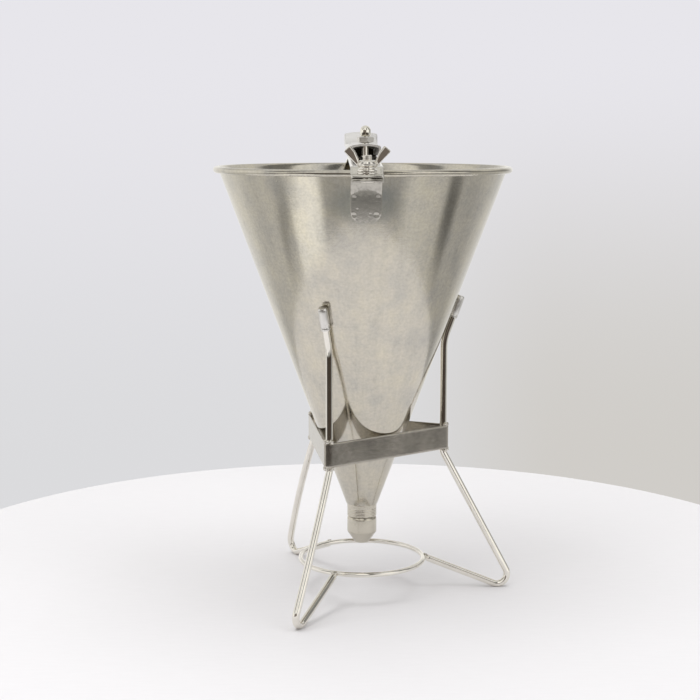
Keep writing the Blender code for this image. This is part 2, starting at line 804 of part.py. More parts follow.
def hexagon(bm, radius, z):
    """A hexagon ring of evenly turned points, one corner near the front."""
    verts = []
    half_side = math.pi / nut_sides
    for i in range(nut_points):
        turn = 2 * math.pi * i / nut_points
        within = math.fmod(turn, 2 * half_side) - half_side
        reach = radius * math.cos(half_side) / math.cos(within)
        angle = turn + nut_turn - math.pi / 2
        verts.append(bm.verts.new((reach * math.cos(angle), reach * math.sin(angle), z)))
    return verts


def cap_nut():
    """The polished domed cap on the end of the rod."""
    r = cap_nut_radius
    bore = rod_radius + fit_gap
    dome_z = cap_nut_bottom + cap_nut_height - r
    points = [(bore, cap_nut_bottom), (r - cap_nut_bevel, cap_nut_bottom), (r, cap_nut_bottom + cap_nut_bevel)]
    points += arc((0, dome_z), r, 0, math.pi / 2, dome_steps)[:-1]
    top = cap_nut_bottom + cap_nut_height
    inside = cap_nut_bottom + rod_end_in_cap + fit_gap
    points += [(0, top), (0, inside), (bore, inside)]
    bm = turned(points, turned_sides, place=Matrix.Translation((mechanism_offset, 0, 0)))
    return finish("cap_nut", bm, (0.72, 0.70, 0.62), 0.08, joint=(0, 0, cap_nut_bottom))


def lever_path():
    """Mid line of the lever's web, from its nose to the curled end of the thumb rest."""
    level = lever_top_height - lever_thickness / 2
    path = [Vector((-lever_nose, level))]
    for reach in (bridge_flat, pivot_reach - lever_deepening, pivot_reach - 2 * ear_radius, pivot_reach,
                  pivot_reach + 2 * ear_radius, lever_flange_end, lever_straight_end):
        path.append(Vector((reach, level)))
    centre = (lever_straight_end, level + thumb_bend_radius)
    bend = arc(centre, thumb_bend_radius, -math.pi / 2, -math.pi / 2 + thumb_angle, bend_steps)
    path += [Vector(p) for p in bend[1:]]
    rise = Vector((math.cos(thumb_angle), math.sin(thumb_angle)))
    path.append(path[-1] + rise * thumb_rise)
    side = Vector((rise.y, -rise.x))
    centre = path[-1] + side * thumb_curl_radius
    start = math.pi / 2 + thumb_angle
    curl = arc(centre, thumb_curl_radius, start, start - thumb_curl_angle, bend_steps)
    return path + [Vector(p) for p in curl[1:]]


def lever_depths(count):
    """Depth of the side flanges at each point of the lever's path."""
    depths = [lever_front_depth, lever_front_depth, lever_pivot_depth, lever_pivot_depth, lever_pivot_depth,
              lever_pivot_depth, lever_thickness]
    return depths + [lever_thickness] * (count - len(depths))


def channel_outline(width, depth):
    """A channel section, open below, with an arched web."""
    half = width / 2
    t = lever_thickness
    top = t / 2
    steps = [-1 + 2 * i / arch_steps for i in range(arch_steps + 1)]
    outer = [(half * s, top - lever_arch * s * s) for s in steps]
    inner = [((half - t) * s, top - t - lever_arch * s * s) for s in reversed(steps)]
    low = top - max(depth, lever_arch + t)
    return [(-half, low)] + outer + [(half, low), (half - t, low)] + inner + [(-half + t, low)]


def lever():
    """The thumb lever: an arched channel whose end is bent up and curled for the thumb."""
    path = lever_path()
    depths = lever_depths(len(path))
    bend_start = len(path) - 2 * bend_steps - 2

    def outline_at(i):
        share = min(max((i - bend_start) / bend_steps, 0), 1)
        width = lever_width + (thumb_width - lever_width) * share
        return channel_outline(width, depths[i])

    joint = (mechanism_offset, pivot_reach, pivot_height)
    bm = strip([tuple(p) for p in path], outline_at)
    bmesh.ops.translate(bm, verts=bm.verts, vec=(mechanism_offset, 0, 0))
    piece = finish("thumb_lever", bm, (0.62, 0.60, 0.55), 0.24, joint=joint)
    hole = pivot_pin_radius + fit_gap
    circle = arc((pivot_reach, pivot_height), hole, 0, 2 * math.pi, hole_sides)[:-1]
    pin_hole = cut(piece, "lever_pin_hole", slab(circle, -lever_width, 2 * lever_width, axis="X"))
    half = rod_radius + fit_gap
    slot = arc((mechanism_offset, 0), half, 0, math.pi, slot_steps)
    slot += arc((mechanism_offset, -rod_slot_play), half, math.pi, 2 * math.pi, slot_steps)
    rod_slot = cut(piece, "rod_slot", slab(slot, lever_under - cut_overrun, lever_top_height + cut_overrun))
    return [piece, pin_hole, rod_slot]


def pivot_bracket():
    """The small folded bracket on the bridge that carries the lever's pin: base, front wall and two ears."""
    low = ear_base_bottom
    reach = ear_radius
    side = arc((pivot_reach, pivot_height), reach, math.pi, 0, slot_steps)
    outline = [(pivot_reach - reach, low)] + side + [(pivot_reach + reach, low)]
    left, right = mechanism_offset - ear_outer, mechanism_offset + ear_outer
    piece = finish("pivot_bracket", slab(outline, left, right, axis="X"), (0.58, 0.56, 0.52), 0.3)
    near = pivot_reach - reach + ear_thickness
    far = pivot_reach + 2 * reach
    high = pivot_height + 2 * reach
    mouth = [(near, low + ear_base_thickness), (far, low + ear_base_thickness), (far, high), (near, high)]
    gap = cut(piece, "ear_gap", slab(mouth, left + ear_thickness, right - ear_thickness, axis="X"))
    circle = arc((pivot_reach, pivot_height), pivot_pin_radius + fit_gap, 0, 2 * math.pi, hole_sides)[:-1]
    hole = cut(piece, "ear_hole", slab(circle, -lever_width, 2 * lever_width, axis="X"))
    return [piece, gap, hole]


def pivot_pin():
    """The pin through the ears and the lever, with a thin head at each end."""
    seat = lever_width / 2 + fit_gap
    end = seat + pivot_head_thickness
    crown = pivot_head_radius * pivot_crown_share
    shoulder = end - pivot_head_thickness / 2
    points = [(0, -end), (crown, -end), (pivot_head_radius, -shoulder), (pivot_head_radius, -seat)]
    points += [(pivot_pin_radius, -seat), (pivot_pin_radius, seat)]
    points += [(pivot_head_radius, seat), (pivot_head_radius, shoulder), (crown, end), (0, end)]
    centre = (mechanism_offset, pivot_reach, pivot_height)
    place = Matrix.Translation(centre) @ Matrix.Rotation(math.pi / 2, 4, "Y")
    return finish("pivot_pin", turned(points, small_sides, place=place), (0.62, 0.60, 0.56), 0.25)


def spring_helix():
    """Centre line of the return spring, between the strip and the lever."""
    low = strip_top_low + fit_gap + spring_wire_radius
    high = lever_under - lever_arch / 4 - fit_gap - spring_wire_radius
    count = spring_turns * spring_points
    path = []
    for i in range(count + 1):
        turn = 2 * math.pi * i / spring_points
        z = low + (high - low) * i / count
        across = mechanism_offset + spring_radius * math.cos(turn)
        path.append(Vector((across, spring_reach + spring_radius * math.sin(turn), z)))
    return path


def least_self_gap(path, radius, apart):
    """Least distance between turns of a wound wire, surface to surface."""
    gaps = [(path[i] - path[j]).length for i in range(len(path)) for j in range(i + apart, len(path))]
    return min(gaps) - 2 * radius


def return_spring():
    """The coil spring that lifts the thumb end and closes the valve."""
    path = spring_helix()
    least = least_self_gap(path, spring_wire_radius, spring_points // 2)
    print("return_spring least gap m", round(least, 6))
    curve = bpy.data.curves.new("return_spring", "CURVE")
    curve.dimensions = "3D"
    curve.bevel_depth = spring_wire_radius
    curve.bevel_resolution = 1
    curve.use_fill_caps = True
    line = curve.splines.new("POLY")
    line.points.add(len(path) - 1)
    for point, place in zip(line.points, path):
        point.co = (*place, 1)
    piece = bpy.data.objects.new("return_spring", curve)
    bpy.context.scene.collection.objects.link(piece)
    curve.materials.append(new_material("return_spring_finish", (0.60, 0.58, 0.54), 0.3))
    return piece


def rear_rivet(side, name):
    """One of the two rivets that hold the strip to the rear bracket."""
    top = strip_top_low + fit_gap
    under = ledge_top - bracket_thickness - fit_gap
    head = rivet_head_radius
    crown = head * rivet_crown_share
    points = [(0, under - rivet_head_height), (crown, under - rivet_head_height), (head, under),
              (rivet_radius, under), (rivet_radius, top), (head, top), (crown, top + rivet_head_height),
              (0, top + rivet_head_height)]
    place = Matrix.Translation((side * rivet_spread / 2, rivet_reach, 0))
    return finish(name, turned(points, small_sides, place=place), (0.62, 0.60, 0.56), 0.3)


def centre_on_base(pieces):
    """Moves everything so that the origin is the middle of the box's bottom face."""
    bpy.context.view_layer.update()
    depsgraph = bpy.context.evaluated_depsgraph_get()
    low = Vector((math.inf,) * 3)
    high = -low
    for piece in pieces:
        if piece.hide_render:
            continue
        evaluated = piece.evaluated_get(depsgraph)
        mesh = evaluated.to_mesh()
        for vert in mesh.vertices:
            place = evaluated.matrix_world @ vert.co
            low = Vector(map(min, low, place))
            high = Vector(map(max, high, place))
        evaluated.to_mesh_clear()
    shift = Vector(((low.x + high.x) / 2, (low.y + high.y) / 2, low.z))
    for piece in pieces:
        piece.location -= shift
    print("origin shift", [round(c, 6) for c in shift], "size", [round(c, 5) for c in high - low])


def main():
    for old in list(bpy.data.objects):
        bpy.data.objects.remove(old)
    pieces = [base_ring(), cradle_band()]
    for index, place in enumerate(("right", "rear", "front")):
        pieces += [leg(index, "leg_" + place), tip_cap(index, "tip_cap_" + place)]
    pieces += [funnel_cone(), outlet_collar(), nozzle()]
    pieces += front_bracket() + rear_bracket() + bridge_and_handle()
    pieces += [clamp_stud(), clamp_washer()] + wing_nut()
    pieces += [valve_rod(), valve_plug(), lock_nut(), cap_nut()]
    pieces += lever() + pivot_bracket()
    pieces += [pivot_pin(), return_spring()]
    pieces += [rear_rivet(-1, "rear_rivet_left"), rear_rivet(1, "rear_rivet_right")]
    centre_on_base(pieces)


main()
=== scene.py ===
# Looks of the pancake batter dispenser: a steel funnel with a thumb-lever valve in a wire stand.
# Sizes are in metres. Pieces are made about the funnel's axis, with the ground at zero height,
# and are then moved to the funnel's place in the row frame.

import math

import bmesh
import bpy
from mathutils import Matrix, Vector, noise


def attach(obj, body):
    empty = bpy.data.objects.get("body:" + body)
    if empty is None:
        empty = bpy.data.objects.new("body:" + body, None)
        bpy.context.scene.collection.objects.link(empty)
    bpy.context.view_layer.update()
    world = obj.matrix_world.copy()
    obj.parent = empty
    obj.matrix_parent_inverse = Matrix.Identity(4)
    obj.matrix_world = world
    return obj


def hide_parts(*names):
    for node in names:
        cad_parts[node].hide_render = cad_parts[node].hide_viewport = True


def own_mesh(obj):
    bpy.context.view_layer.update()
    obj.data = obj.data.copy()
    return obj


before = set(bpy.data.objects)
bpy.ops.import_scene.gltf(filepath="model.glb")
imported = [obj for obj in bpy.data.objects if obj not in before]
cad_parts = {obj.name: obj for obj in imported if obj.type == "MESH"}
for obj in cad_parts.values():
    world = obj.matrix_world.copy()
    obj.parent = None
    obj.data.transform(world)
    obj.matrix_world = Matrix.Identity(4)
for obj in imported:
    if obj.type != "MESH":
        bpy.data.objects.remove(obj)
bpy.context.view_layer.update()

# The funnel's axis in the row frame
funnel_axis = Vector((-0.002209, -0.012564, 0))

# Camera
camera_place = Vector((-0.02498, -1.00765, 0.3188))
camera_pitch = math.radians(-8.4736)
camera_yaw = math.radians(0.945)
camera_roll = math.radians(0.0624)
camera_lens = 76.76
sensor_width = 36

# Stage
table_centre = Vector((0.000, 0.045, 0))
table_radius = 0.352
table_edge_radius = 0.004
table_stretch = 1.13
table_sides = 256
table_colour = (0.80, 0.792, 0.815)
backdrop_high = (0.80, 0.79, 0.83)
backdrop_low = (0.71, 0.71, 0.725)
backdrop_right = (0.63, 0.61, 0.58)

# Where the backdrop's colours change, by height in degrees and by the sideways part of the direction
backdrop_rise = (-13, 3)
backdrop_side = (0.02, 0.16)

# Light of the room by azimuth, in degrees from the front and positive to the right:
# below the table's level, just under the eye's level, at it and above it
floor_room = ((-180, 0.62), (-96, 0.66), (-78, 0.68), (-73, 1.20), (-46, 1.25), (-39, 0.46), (32, 0.44),
              (46, 0.76), (72, 0.66), (100, 0.52), (140, 0.46), (180, 0.62))
low_dark = (0.060, 0.048, 0.040)
low_room = ((-180, 0.95), (-130, 0.82), (-100, 0.80), (-86, 0.75), (-76, low_dark), (50, low_dark),
            (62, 0.16), (78, 0.32), (95, 0.62), (130, 0.60), (180, 0.95))
level_dark = (0.17, 0.147, 0.13)
level_room = ((-180, 1.00), (-140, 0.90), (-110, 0.95), (-62, 1.10), (-46, level_dark), (14, level_dark),
              (24, 1.15), (80, 1.00), (90, 0.30), (140, 0.36), (158, 0.95), (180, 1.00))
high_room = ((-180, 0.70), (-125, 0.70), (-112, 0.85), (-88, 0.85), (-82, 0.28), (-62, 0.28), (-56, 0.95),
             (-34, 0.95), (-30, 0.72), (-14, 0.72), (-11, 1.15), (11, 1.15), (15, 0.16), (34, 0.16),
             (42, 0.95), (68, 0.95), (74, 0.22), (102, 0.22), (110, 0.75), (180, 0.70))
ceiling = (0.60, 0.60, 0.585)
room_gain = 1.3
room_tint = (1.0, 0.988, 0.965)

# Heights in degrees over which one part of the room gives way to the next
room_layers = ((-25, -18, low_room), (-6, -2, level_room), (12, 24, high_room))
ceiling_rise = (64, 80)

# Narrow dim gaps at the sides, which lean: the depth and slope of the lean,
# then the limits and softness across the leaning gap and in azimuth
side_gaps = ((34, 10, (-90, -79, 4), (-88, -70, 12)), (33, -5.8, (73, 91, 4), (85, 92, 7)))
side_gap = 0.16

# Lamps: name, place from the funnel's axis, size and power
lamps = (("lamp_left", (-0.5, -0.35, 1.35), 0.7, 6.0), ("lamp_right", (0.5, -0.2, 1.35), 0.7, 3.8),
         ("lamp_top", (0, 0.2, 1.5), 0.9, 4.6))
lamp_aim = Vector((0, 0, 0.15))

# Funnel
rim_radius = 0.100
rim_top = 0.2934
bead_radius = 0.00215
bead_start = 3.6757
bead_end = 2.6389
wall_slope = 0.373427
wall_angle = math.atan(wall_slope)
wall_step = 0.0010675
outlet_radius = 0.0108
outlet_height = 0.0620
shell_sides = 256
shell_rows = 36
shell_waviness = 0.00006

# A cooler, darker patch on the sheet round the brackets
tint_reach = 0.025
tint_height = 0.2725
tint_rise = 0.0135
tint_colour = (0.72, 0.755, 0.79)

# Outlet
collar_radius = 0.0101
collar_top = 0.0617
collar_bottom = 0.0532
collar_bore = 0.0065
socket_radius = 0.0080
socket_depth = 0.0065
thread_pitch = 0.00105
thread_depth = 0.00009
nozzle_top = 0.0529
nozzle_bottom = 0.0341
nozzle_shoulder = 0.0419
nozzle_spigot = 0.0077
nozzle_spigot_top = 0.0591
nozzle_seat_radius = 0.0061
nozzle_mouth = 0.0032
nozzle_tip = 0.00465
nozzle_land = 0.0020
nozzle_edge = 0.0007
nozzle_edge_height = 0.0016
nozzle_ease = 0.0005

# Stand
ring_radius = 0.0425
ring_height = 0.0228
ring_wire = 0.0017
leg_wire = 0.0024
foot_bend_reaches = (0.0952, 0.0985, 0.0925)
foot_bend_radius = 0.0070
foot_flat_depth = 0.0004
leg_turn = math.radians(6.5)
foot_turns = (math.radians(-4.0), math.radians(-8.0), math.radians(-3.2))
band_low = 0.0989
band_top = 0.1154
band_thickness = 0.0009
knee_radius = 0.0060
tip_bend_radius = 0.0340
tip_height = 0.2043
cap_length = 0.0150
cap_radius = 0.00315
cap_end = 0.0008
weld_out = 0.0012
weld_far = 0.0026
weld_apart = 0.0019
gap = 0.0003

# Brackets, strip and clamp
bracket_width = 0.0195
bracket_thickness = 0.0015
bracket_low = 0.2611
bracket_corner = 0.0070
bracket_bend = 0.00195
bracket_tip_half = 0.0026
bracket_bow_height = 0.2800
bracket_bow_crown = 0.0035
bracket_bow_rate = 15
ledge_corner = 0.0016
end_bulge = 0.0012
ledge_top = 0.2888
front_end = 0.1214
rear_ledge = 0.1165
weld_spots = ((-0.0074, 0.2762), (0.0072, 0.2762), (-0.0078, 0.2655), (0.0063, 0.2655))
weld_marks = ((-0.0055, 0.2690), (0.0028, 0.2660))
spot_radius = 0.0018
spot_depth = 0.00020
mark_radius = 0.0010
mark_depth = 0.00009
strip_width = 0.0200
strip_thickness = 0.0020
strip_low = 0.2901
strip_over_rim = 0.2947
strip_high = 0.2986
riser_top = 0.1009
riser_foot = 0.1044
strip_bend = 0.0026
bridge_flat = 0.0120
bow_end = 0.072
handle_reach = 0.1480
handle_lean = 0.0060
handle_drop = 0.0760
handle_top_bend = 0.0220
handle_low_bend = 0.0200
handle_foot_rise = 0.0120
handle_foot_length = 0.0160
handle_foot_bend = 0.0050
stud_reach = 0.11275
stud_radius = 0.0027
stud_rise = 0.010
stud_pitch = 0.0008
stud_groove = 0.00003
stud_head = ((0, 0.0008), (0.0038, 0.0008), (0.0044, 0.0005), (0.0046, 0.0001), (0.0046, 0))
hub_bottom = 0.2927
washer_bottom = 0.2914
washer_radius = 0.0061
washer_thickness = 0.0010
hub_outline = ((0.0058, 0), (0.0060, 0.0004), (0.0059, 0.0014), (0.0050, 0.0019), (0.0049, 0.0029),
               (0.0058, 0.0037), (0.0061, 0.0048), (0.0056, 0.0060), (0.0046, 0.0068), (0.0040, 0.0070))
hub_height = 0.0070
wing_half = 0.0015
wing_root = 0.0050
wing_tip = 0.0138
wing_taper = 0.25
cast_detail = 0.00022
wing_edge = ((0.0044, 0.0026), (0.0056, 0.0032), (0.0135, 0.0115), (0.0138, 0.0124), (0.0134, 0.0130),
             (0.0110, 0.0150), (0.0102, 0.0154))
wing_hollow = ((0.0096, 0.0151), (0.0084, 0.0136), (0.0071, 0.0120), (0.0061, 0.0099), (0.0053, 0.00785),
               (0.0049, 0.0066))
rivet_reach = 0.1100
rivet_spread = 0.0110
rivet_radius = 0.0017
rivet_hole = 0.0020

# Valve, nuts and lever
offset = 0.0018
rod_radius = 0.0023
plug_top = 0.0458
cap_nut_bottom = 0.3131
cap_nut_radius = 0.00355
cap_nut_height = 0.0072
nut_bottom = 0.3085
nut_height = 0.0043
nut_across = 0.0100
nut_turn = math.radians(15)
nut_seat = 0.0001
nut_seat_rise = 0.00045
nut_chamfer = 0.0006
lever_top = 0.3082
lever_thickness = 0.0014
lever_width = 0.0204
lever_arch = 0.0013
lever_rib = 0.0018
lever_lip = 0.0003
lever_stops = ((-0.0092, 0.0083), (0.012, 0.0083), (0.072, 0.0089), (0.106, 0.0089), (0.121, 0.0014))
lever_step = 0.003
rib_start = 0.020
rib_end = 0.078
rib_ease = 0.006
thumb_width = 0.0250
thumb_depth = 0.0014
thumb_bend = 0.008
thumb_turn = math.radians(66)
thumb_rise = 0.0013
curl_radius = 0.0026
curl_turn = math.radians(125)
pivot_reach = 0.0880
pivot_height = 0.3013
pin_hole = 0.00155
ear_thickness = 0.0012
ear_low = 0.2961
ear_half = 0.0083
ear_reach = 0.0035
ear_radius = 0.0034
ear_foot_half = 0.0101
ear_shoulder = 0.2995
ear_sink = 0.0001
spring_reach = 0.117
spring_low = 0.2914
spring_wire = 0.0005
spring_radius = 0.0040
spring_height = 0.01378
spring_turns = 6


def cone_outer(z):
    """Outside radius of the funnel's wall at a height."""
    return outlet_radius + (z - outlet_height) * wall_slope


upright_radius = 2 * (cone_outer(band_top) - leg_wire)
tip_offset = (cap_radius + gap) / math.cos(wall_angle)
tip_bend_height = outlet_height + (upright_radius - tip_offset - outlet_radius) / wall_slope


def new_object(name, data):
    """A new object in the scene."""
    thing = bpy.data.objects.new(name, data)
    bpy.context.scene.collection.objects.link(thing)
    return thing


def smoothed(mesh, sharp):
    """Shades a mesh smooth, but for its sharp edges."""
    mesh.shade_smooth()
    mesh.set_sharp_from_angle(angle=sharp)


def link(name, bm, sharp=math.radians(38)):
    """Turns a bmesh into an object with its faces outward, moved to the funnel's place."""
    if not all(edge.is_contiguous for edge in bm.edges):
        bmesh.ops.recalc_face_normals(bm, faces=bm.faces)
    if bm.calc_volume(signed=True) < 0:
        bmesh.ops.reverse_faces(bm, faces=bm.faces)
    bmesh.ops.translate(bm, verts=bm.verts, vec=funnel_axis)
    mesh = bpy.data.meshes.new(name)
    bm.to_mesh(mesh)
    bm.free()
    smoothed(mesh, sharp)
    return new_object(name, mesh)


def carve(piece, cutters, operation="DIFFERENCE"):
    """Cuts closed shapes out of a piece, or joins them to it, for good."""
    for cutter in cutters:
        modifier = piece.modifiers.new("carve", "BOOLEAN")
        modifier.operation = operation
        modifier.solver = "EXACT"
        modifier.object = cutter
    settle(piece)
    for cutter in cutters:
        bpy.data.objects.remove(cutter)


def settle(piece, sharp=math.radians(38)):
    """Applies a piece's modifiers."""
    bpy.context.view_layer.update()
    done = piece.evaluated_get(bpy.context.evaluated_depsgraph_get())
    mesh = bpy.data.meshes.new_from_object(done)
    piece.modifiers.clear()
    piece.data = mesh
    smoothed(mesh, sharp)


def join_rings(bm, lower, upper):
    """Faces between two rings, or between a ring and a point on the axis."""
    if len(lower) == 1 and len(upper) == 1:
        return
    count = max(len(lower), len(upper))
    for i in range(count):
        j = (i + 1) % count
        if len(lower) == 1:
            bm.faces.new((lower[0], upper[j], upper[i]))
        elif len(upper) == 1:
            bm.faces.new((lower[i], lower[j], upper[0]))
        else:
            bm.faces.new((lower[i], lower[j], upper[j], upper[i]))


def loft(bm, rings, around=False):
    """Faces from ring to ring, and on to the first one or with both ends closed."""
    for lower, upper in zip(rings, rings[1:] + (rings[:1] if around else [])):
        join_rings(bm, lower, upper)
    if not around:
        bm.faces.new(list(reversed(rings[0])))
        bm.faces.new(rings[-1])


def turned(points, sides, place=None, radius_at=None):
    """A closed outline of (radius, height) points spun about Z."""
    bm = bmesh.new()
    rings = []
    for radius, height in points:
        if radius == 0:
            rings.append([bm.verts.new((0, 0, height))])
            continue
        ring = []
        for i in range(sides):
            a = 2 * math.pi * i / sides
            r = radius_at(radius, height, a) if radius_at else radius
            ring.append(bm.verts.new((r * math.cos(a), r * math.sin(a), height)))
        rings.append(ring)
    loft(bm, rings, around=True)
    if place is not None:
        bmesh.ops.transform(bm, matrix=place, verts=bm.verts)
    return bm


def arc(centre, radius, start, end, steps):
    """Points of an arc in a plane, both ends included."""
    turn = [start + (end - start) * i / steps for i in range(steps + 1)]
    return [(centre[0] + radius * math.cos(a), centre[1] + radius * math.sin(a)) for a in turn]


def circle_of(centre, radius, sides):
    """Points all the way round a circle."""
    return arc(centre, radius, 0, 2 * math.pi, sides)[:-1]


def kept_share(value):
    """A share kept between zero and one."""
    return min(max(value, 0), 1)


def corner_cut(near, radius):
    """How far a rounded corner draws a strip's side in, at a distance from its end."""
    return radius - math.sqrt(max(radius ** 2 - (radius - near) ** 2, 0)) if near < radius else 0


def eased(points, ease, steps=3):
    """A closed (radius, height) outline with its corners rounded a little."""
    result = []
    count = len(points)
    for i, point in enumerate(points):
        here = Vector(point)
        back = Vector(points[i - 1]) - here
        ahead = Vector(points[(i + 1) % count]) - here
        if point[0] == 0 or min(back.length, ahead.length) < 1e-9:
            result.append(tuple(here))
            continue
        reach = min(ease, back.length * 0.45, ahead.length * 0.45)
        start = here + back.normalized() * reach
        end = here + ahead.normalized() * reach
        for k in range(steps + 1):
            t = k / steps
            result.append(tuple(start * (1 - t) ** 2 + here * 2 * t * (1 - t) + end * t * t))
    return result


def rounded(corners, radii, steps):
    """A path with each inner corner rounded to its own radius."""
    corners = [Vector(c) for c in corners]
    path = [corners[0]]
    for before, corner, after, radius in zip(corners, corners[1:], corners[2:], radii):
        back = (before - corner).normalized()
        ahead = (after - corner).normalized()
        half = back.angle(ahead) / 2
        reach = radius / math.tan(half)
        centre = corner + (back + ahead).normalized() * (radius / math.sin(half))
        start = corner + back * reach - centre
        end = corner + ahead * reach - centre
        for i in range(steps + 1):
            path.append(centre + start.lerp(end, i / steps).normalized() * radius)
    path.append(corners[-1])
    return path


def finer(path, longest):
    """The same path with its long steps divided."""
    result = [Vector(path[0])]
    for before, after in zip(path, path[1:]):
        count = max(1, math.ceil((Vector(after) - Vector(before)).length / longest))
        result += [Vector(before).lerp(Vector(after), (i + 1) / count) for i in range(count)]
    return result


def swept(path, shape_at, closed=False):
    """Carries a flat outline along a path in space."""
    bm = bmesh.new()
    path = [Vector(p) for p in path]
    count = len(path)
    rings = []
    side = None
    for i, point in enumerate(path):
        before = path[i - 1] if closed or i else point
        after = path[(i + 1) % count] if closed or i < count - 1 else point
        ahead = Vector()
        for step in (point - before, after - point):
            if step.length > 0:
                ahead += step.normalized()
        ahead.normalize()
        if side is None:
            side = ahead.orthogonal().normalized()
        side = (side - ahead * side.dot(ahead)).normalized()
        up = ahead.cross(side)
        rings.append([bm.verts.new(point + side * u + up * v) for u, v in shape_at(i)])
    loft(bm, rings, closed)
    return bm


def wire(path, radius, sides, closed=False):
    """A round wire along a path."""
    circle = circle_of((0, 0), radius, sides)
    return swept(path, lambda i: circle, closed)


def strip(path, outline_at):
    """A bent sheet strip: path points are (y, z), outlines are (x, height above the path)."""
    bm = bmesh.new()
    path = [Vector(p) for p in path]
    count = len(path)
    rings = []
    for i, here in enumerate(path):
        before = (here - path[i - 1]).normalized() if i else Vector((0, 0))
        after = (path[i + 1] - here).normalized() if i < count - 1 else Vector((0, 0))
        ahead = (before + after).normalized()
        stretch = 1 / max(ahead.dot(after if i < count - 1 else before), 0.5)
        up = Vector((-ahead.y, ahead.x)) * stretch
        rings.append([bm.verts.new((x, here.x + up.x * h, here.y + up.y * h)) for x, h in outline_at(i)])
    loft(bm, rings)
    return bm


def slab(outline, low, high, axis="Z"):
    """A closed outline pulled straight along an axis."""
    bm = bmesh.new()
    turn = {"Z": Matrix.Identity(3), "X": Matrix(((0, 0, 1), (1, 0, 0), (0, 1, 0))),
            "Y": Matrix(((1, 0, 0), (0, 0, -1), (0, 1, 0)))}[axis]
    ends = []
    for level in (low, high):
        along = -level if axis == "Y" else level
        ends.append([bm.verts.new(turn @ Vector((u, v, along))) for u, v in outline])
    join_rings(bm, ends[0], ends[1])
    bm.faces.new(ends[0])
    bm.faces.new(ends[1])
    return bm


def round_end(path, thickness, steps=5):
    """Adds close points at the end of a path, where the strip's end is rounded off."""
    back = (path[-2] - path[-1]).normalized()
    end = path[-1]
    near = [end + back * thickness / 2 * (1 - math.sin(math.pi / 2 * i / steps)) for i in range(steps)]
    return path[:-1] + near + [end + back * thickness * 0.002]


def end_share(path, i, thickness):
    """How thick a strip still is near its rounded end, as a share of its thickness."""
    far = (path[-1] - path[i]).length
    inside = max(1 - far / (thickness / 2), 0)
    return max(math.sqrt(1 - inside ** 2), 0.08)


def flat_outline(width, thickness, across, ease):
    """The section of a flat strip with eased edges, divided across its width."""
    x, h = width / 2, thickness / 2
    right = arc((x - ease, -h + ease), ease, -math.pi / 2, 0, 3)
    right += arc((x - ease, h - ease), ease, 0, math.pi / 2, 3)
    inner = [1 - 2 * i / across for i in range(1, across)]
    top = [((x - ease) * s, h) for s in inner]
    left = [(-u, v) for u, v in reversed(right)]
    return right + top + left + [(-u, -v) for u, v in top]


# Finishes


def node_tree(name):
    """A new material, its node tree and its shader."""
    material = bpy.data.materials.new(name)
    material.use_nodes = True
    return material, material.node_tree, material.node_tree.nodes["Principled BSDF"]


def feed(tree, socket, value):
    """Links a socket to another one, or sets its number or colour."""
    if hasattr(value, "is_output"):
        tree.links.new(value, socket)
    else:
        socket.default_value = (*value, 1) if socket.type == "RGBA" else value


def add(tree, kind, **values):
    """A node with its inputs or settings filled in by name."""
    node = tree.nodes.new(kind)
    for key, value in values.items():
        if key in node.inputs:
            feed(tree, node.inputs[key], value)
        else:
            setattr(node, key, value)
    return node


def math_node(tree, operation, first, second=None):
    """A sum on one or two values or sockets."""
    node = add(tree, "ShaderNodeMath", operation=operation)
    for socket, value in zip(node.inputs, (first, second)):
        if value is not None:
            feed(tree, socket, value)
    return node.outputs[0]


def ramp(tree, source, stops):
    """A colour ramp of (place, grey or colour) stops."""
    node = add(tree, "ShaderNodeValToRGB", Fac=source)
    elements = node.color_ramp.elements
    while len(elements) < len(stops):
        elements.new(0.5)
    for element, (place, colour) in zip(elements, stops):
        element.position = place
        element.color = (*colour, 1) if isinstance(colour, tuple) else (colour, colour, colour, 1)
    return node.outputs["Color"]


def blend(tree, kind, factor, first, second):
    """Two colours or sockets mixed by a factor."""
    node = add(tree, "ShaderNodeMix", data_type="RGBA", blend_type=kind)
    for index, value in ((0, factor), (6, first), (7, second)):
        feed(tree, node.inputs[index], value)
    return node.outputs[2]


def spread(tree, value, low, high):
    """A value turned to run smoothly from zero at low to one at high."""
    limits = {"From Min": low, "From Max": high}
    node = add(tree, "ShaderNodeMapRange", interpolation_type="SMOOTHSTEP", Value=value, **limits)
    return node.outputs["Result"]


def parts_of(tree, space):
    """The three parts of a place or direction."""
    source = add(tree, "ShaderNodeTexCoord").outputs[space]
    return add(tree, "ShaderNodeSeparateXYZ", Vector=source).outputs


def noise_map(tree, scale, stretch=(1, 1, 1), detail=4.0, roughness=0.6):
    """Noise in the object's own space, stretched if asked."""
    source = add(tree, "ShaderNodeTexCoord").outputs["Object"]
    place = add(tree, "ShaderNodeMapping", Scale=stretch, Vector=source).outputs["Vector"]
    texture = add(tree, "ShaderNodeTexNoise", Scale=scale, Detail=detail, Roughness=roughness, Vector=place)
    return texture.outputs["Fac"]


def spun_noise(tree, turn, height, across, along, **look):
    """Noise laid round the funnel's axis, scaled across its lines and along the height."""
    x, y = (math_node(tree, "MULTIPLY", math_node(tree, part, turn), across) for part in ("SINE", "COSINE"))
    place = add(tree, "ShaderNodeCombineXYZ", X=x, Y=y, Z=math_node(tree, "MULTIPLY", height, along))
    return add(tree, "ShaderNodeTexNoise", Vector=place.outputs[0], **look).outputs["Fac"]


def metal(tree, shader, tone, gloss, height, depth):
    """Makes the shader a metal with a tone, a roughness and a relief."""
    relief = add(tree, "ShaderNodeBump", Strength=1.0, Distance=depth, Height=height).outputs["Normal"]
    for name, value in (("Metallic", 1), ("Base Color", tone), ("Roughness", gloss), ("Normal", relief)):
        feed(tree, shader.inputs[name], value)


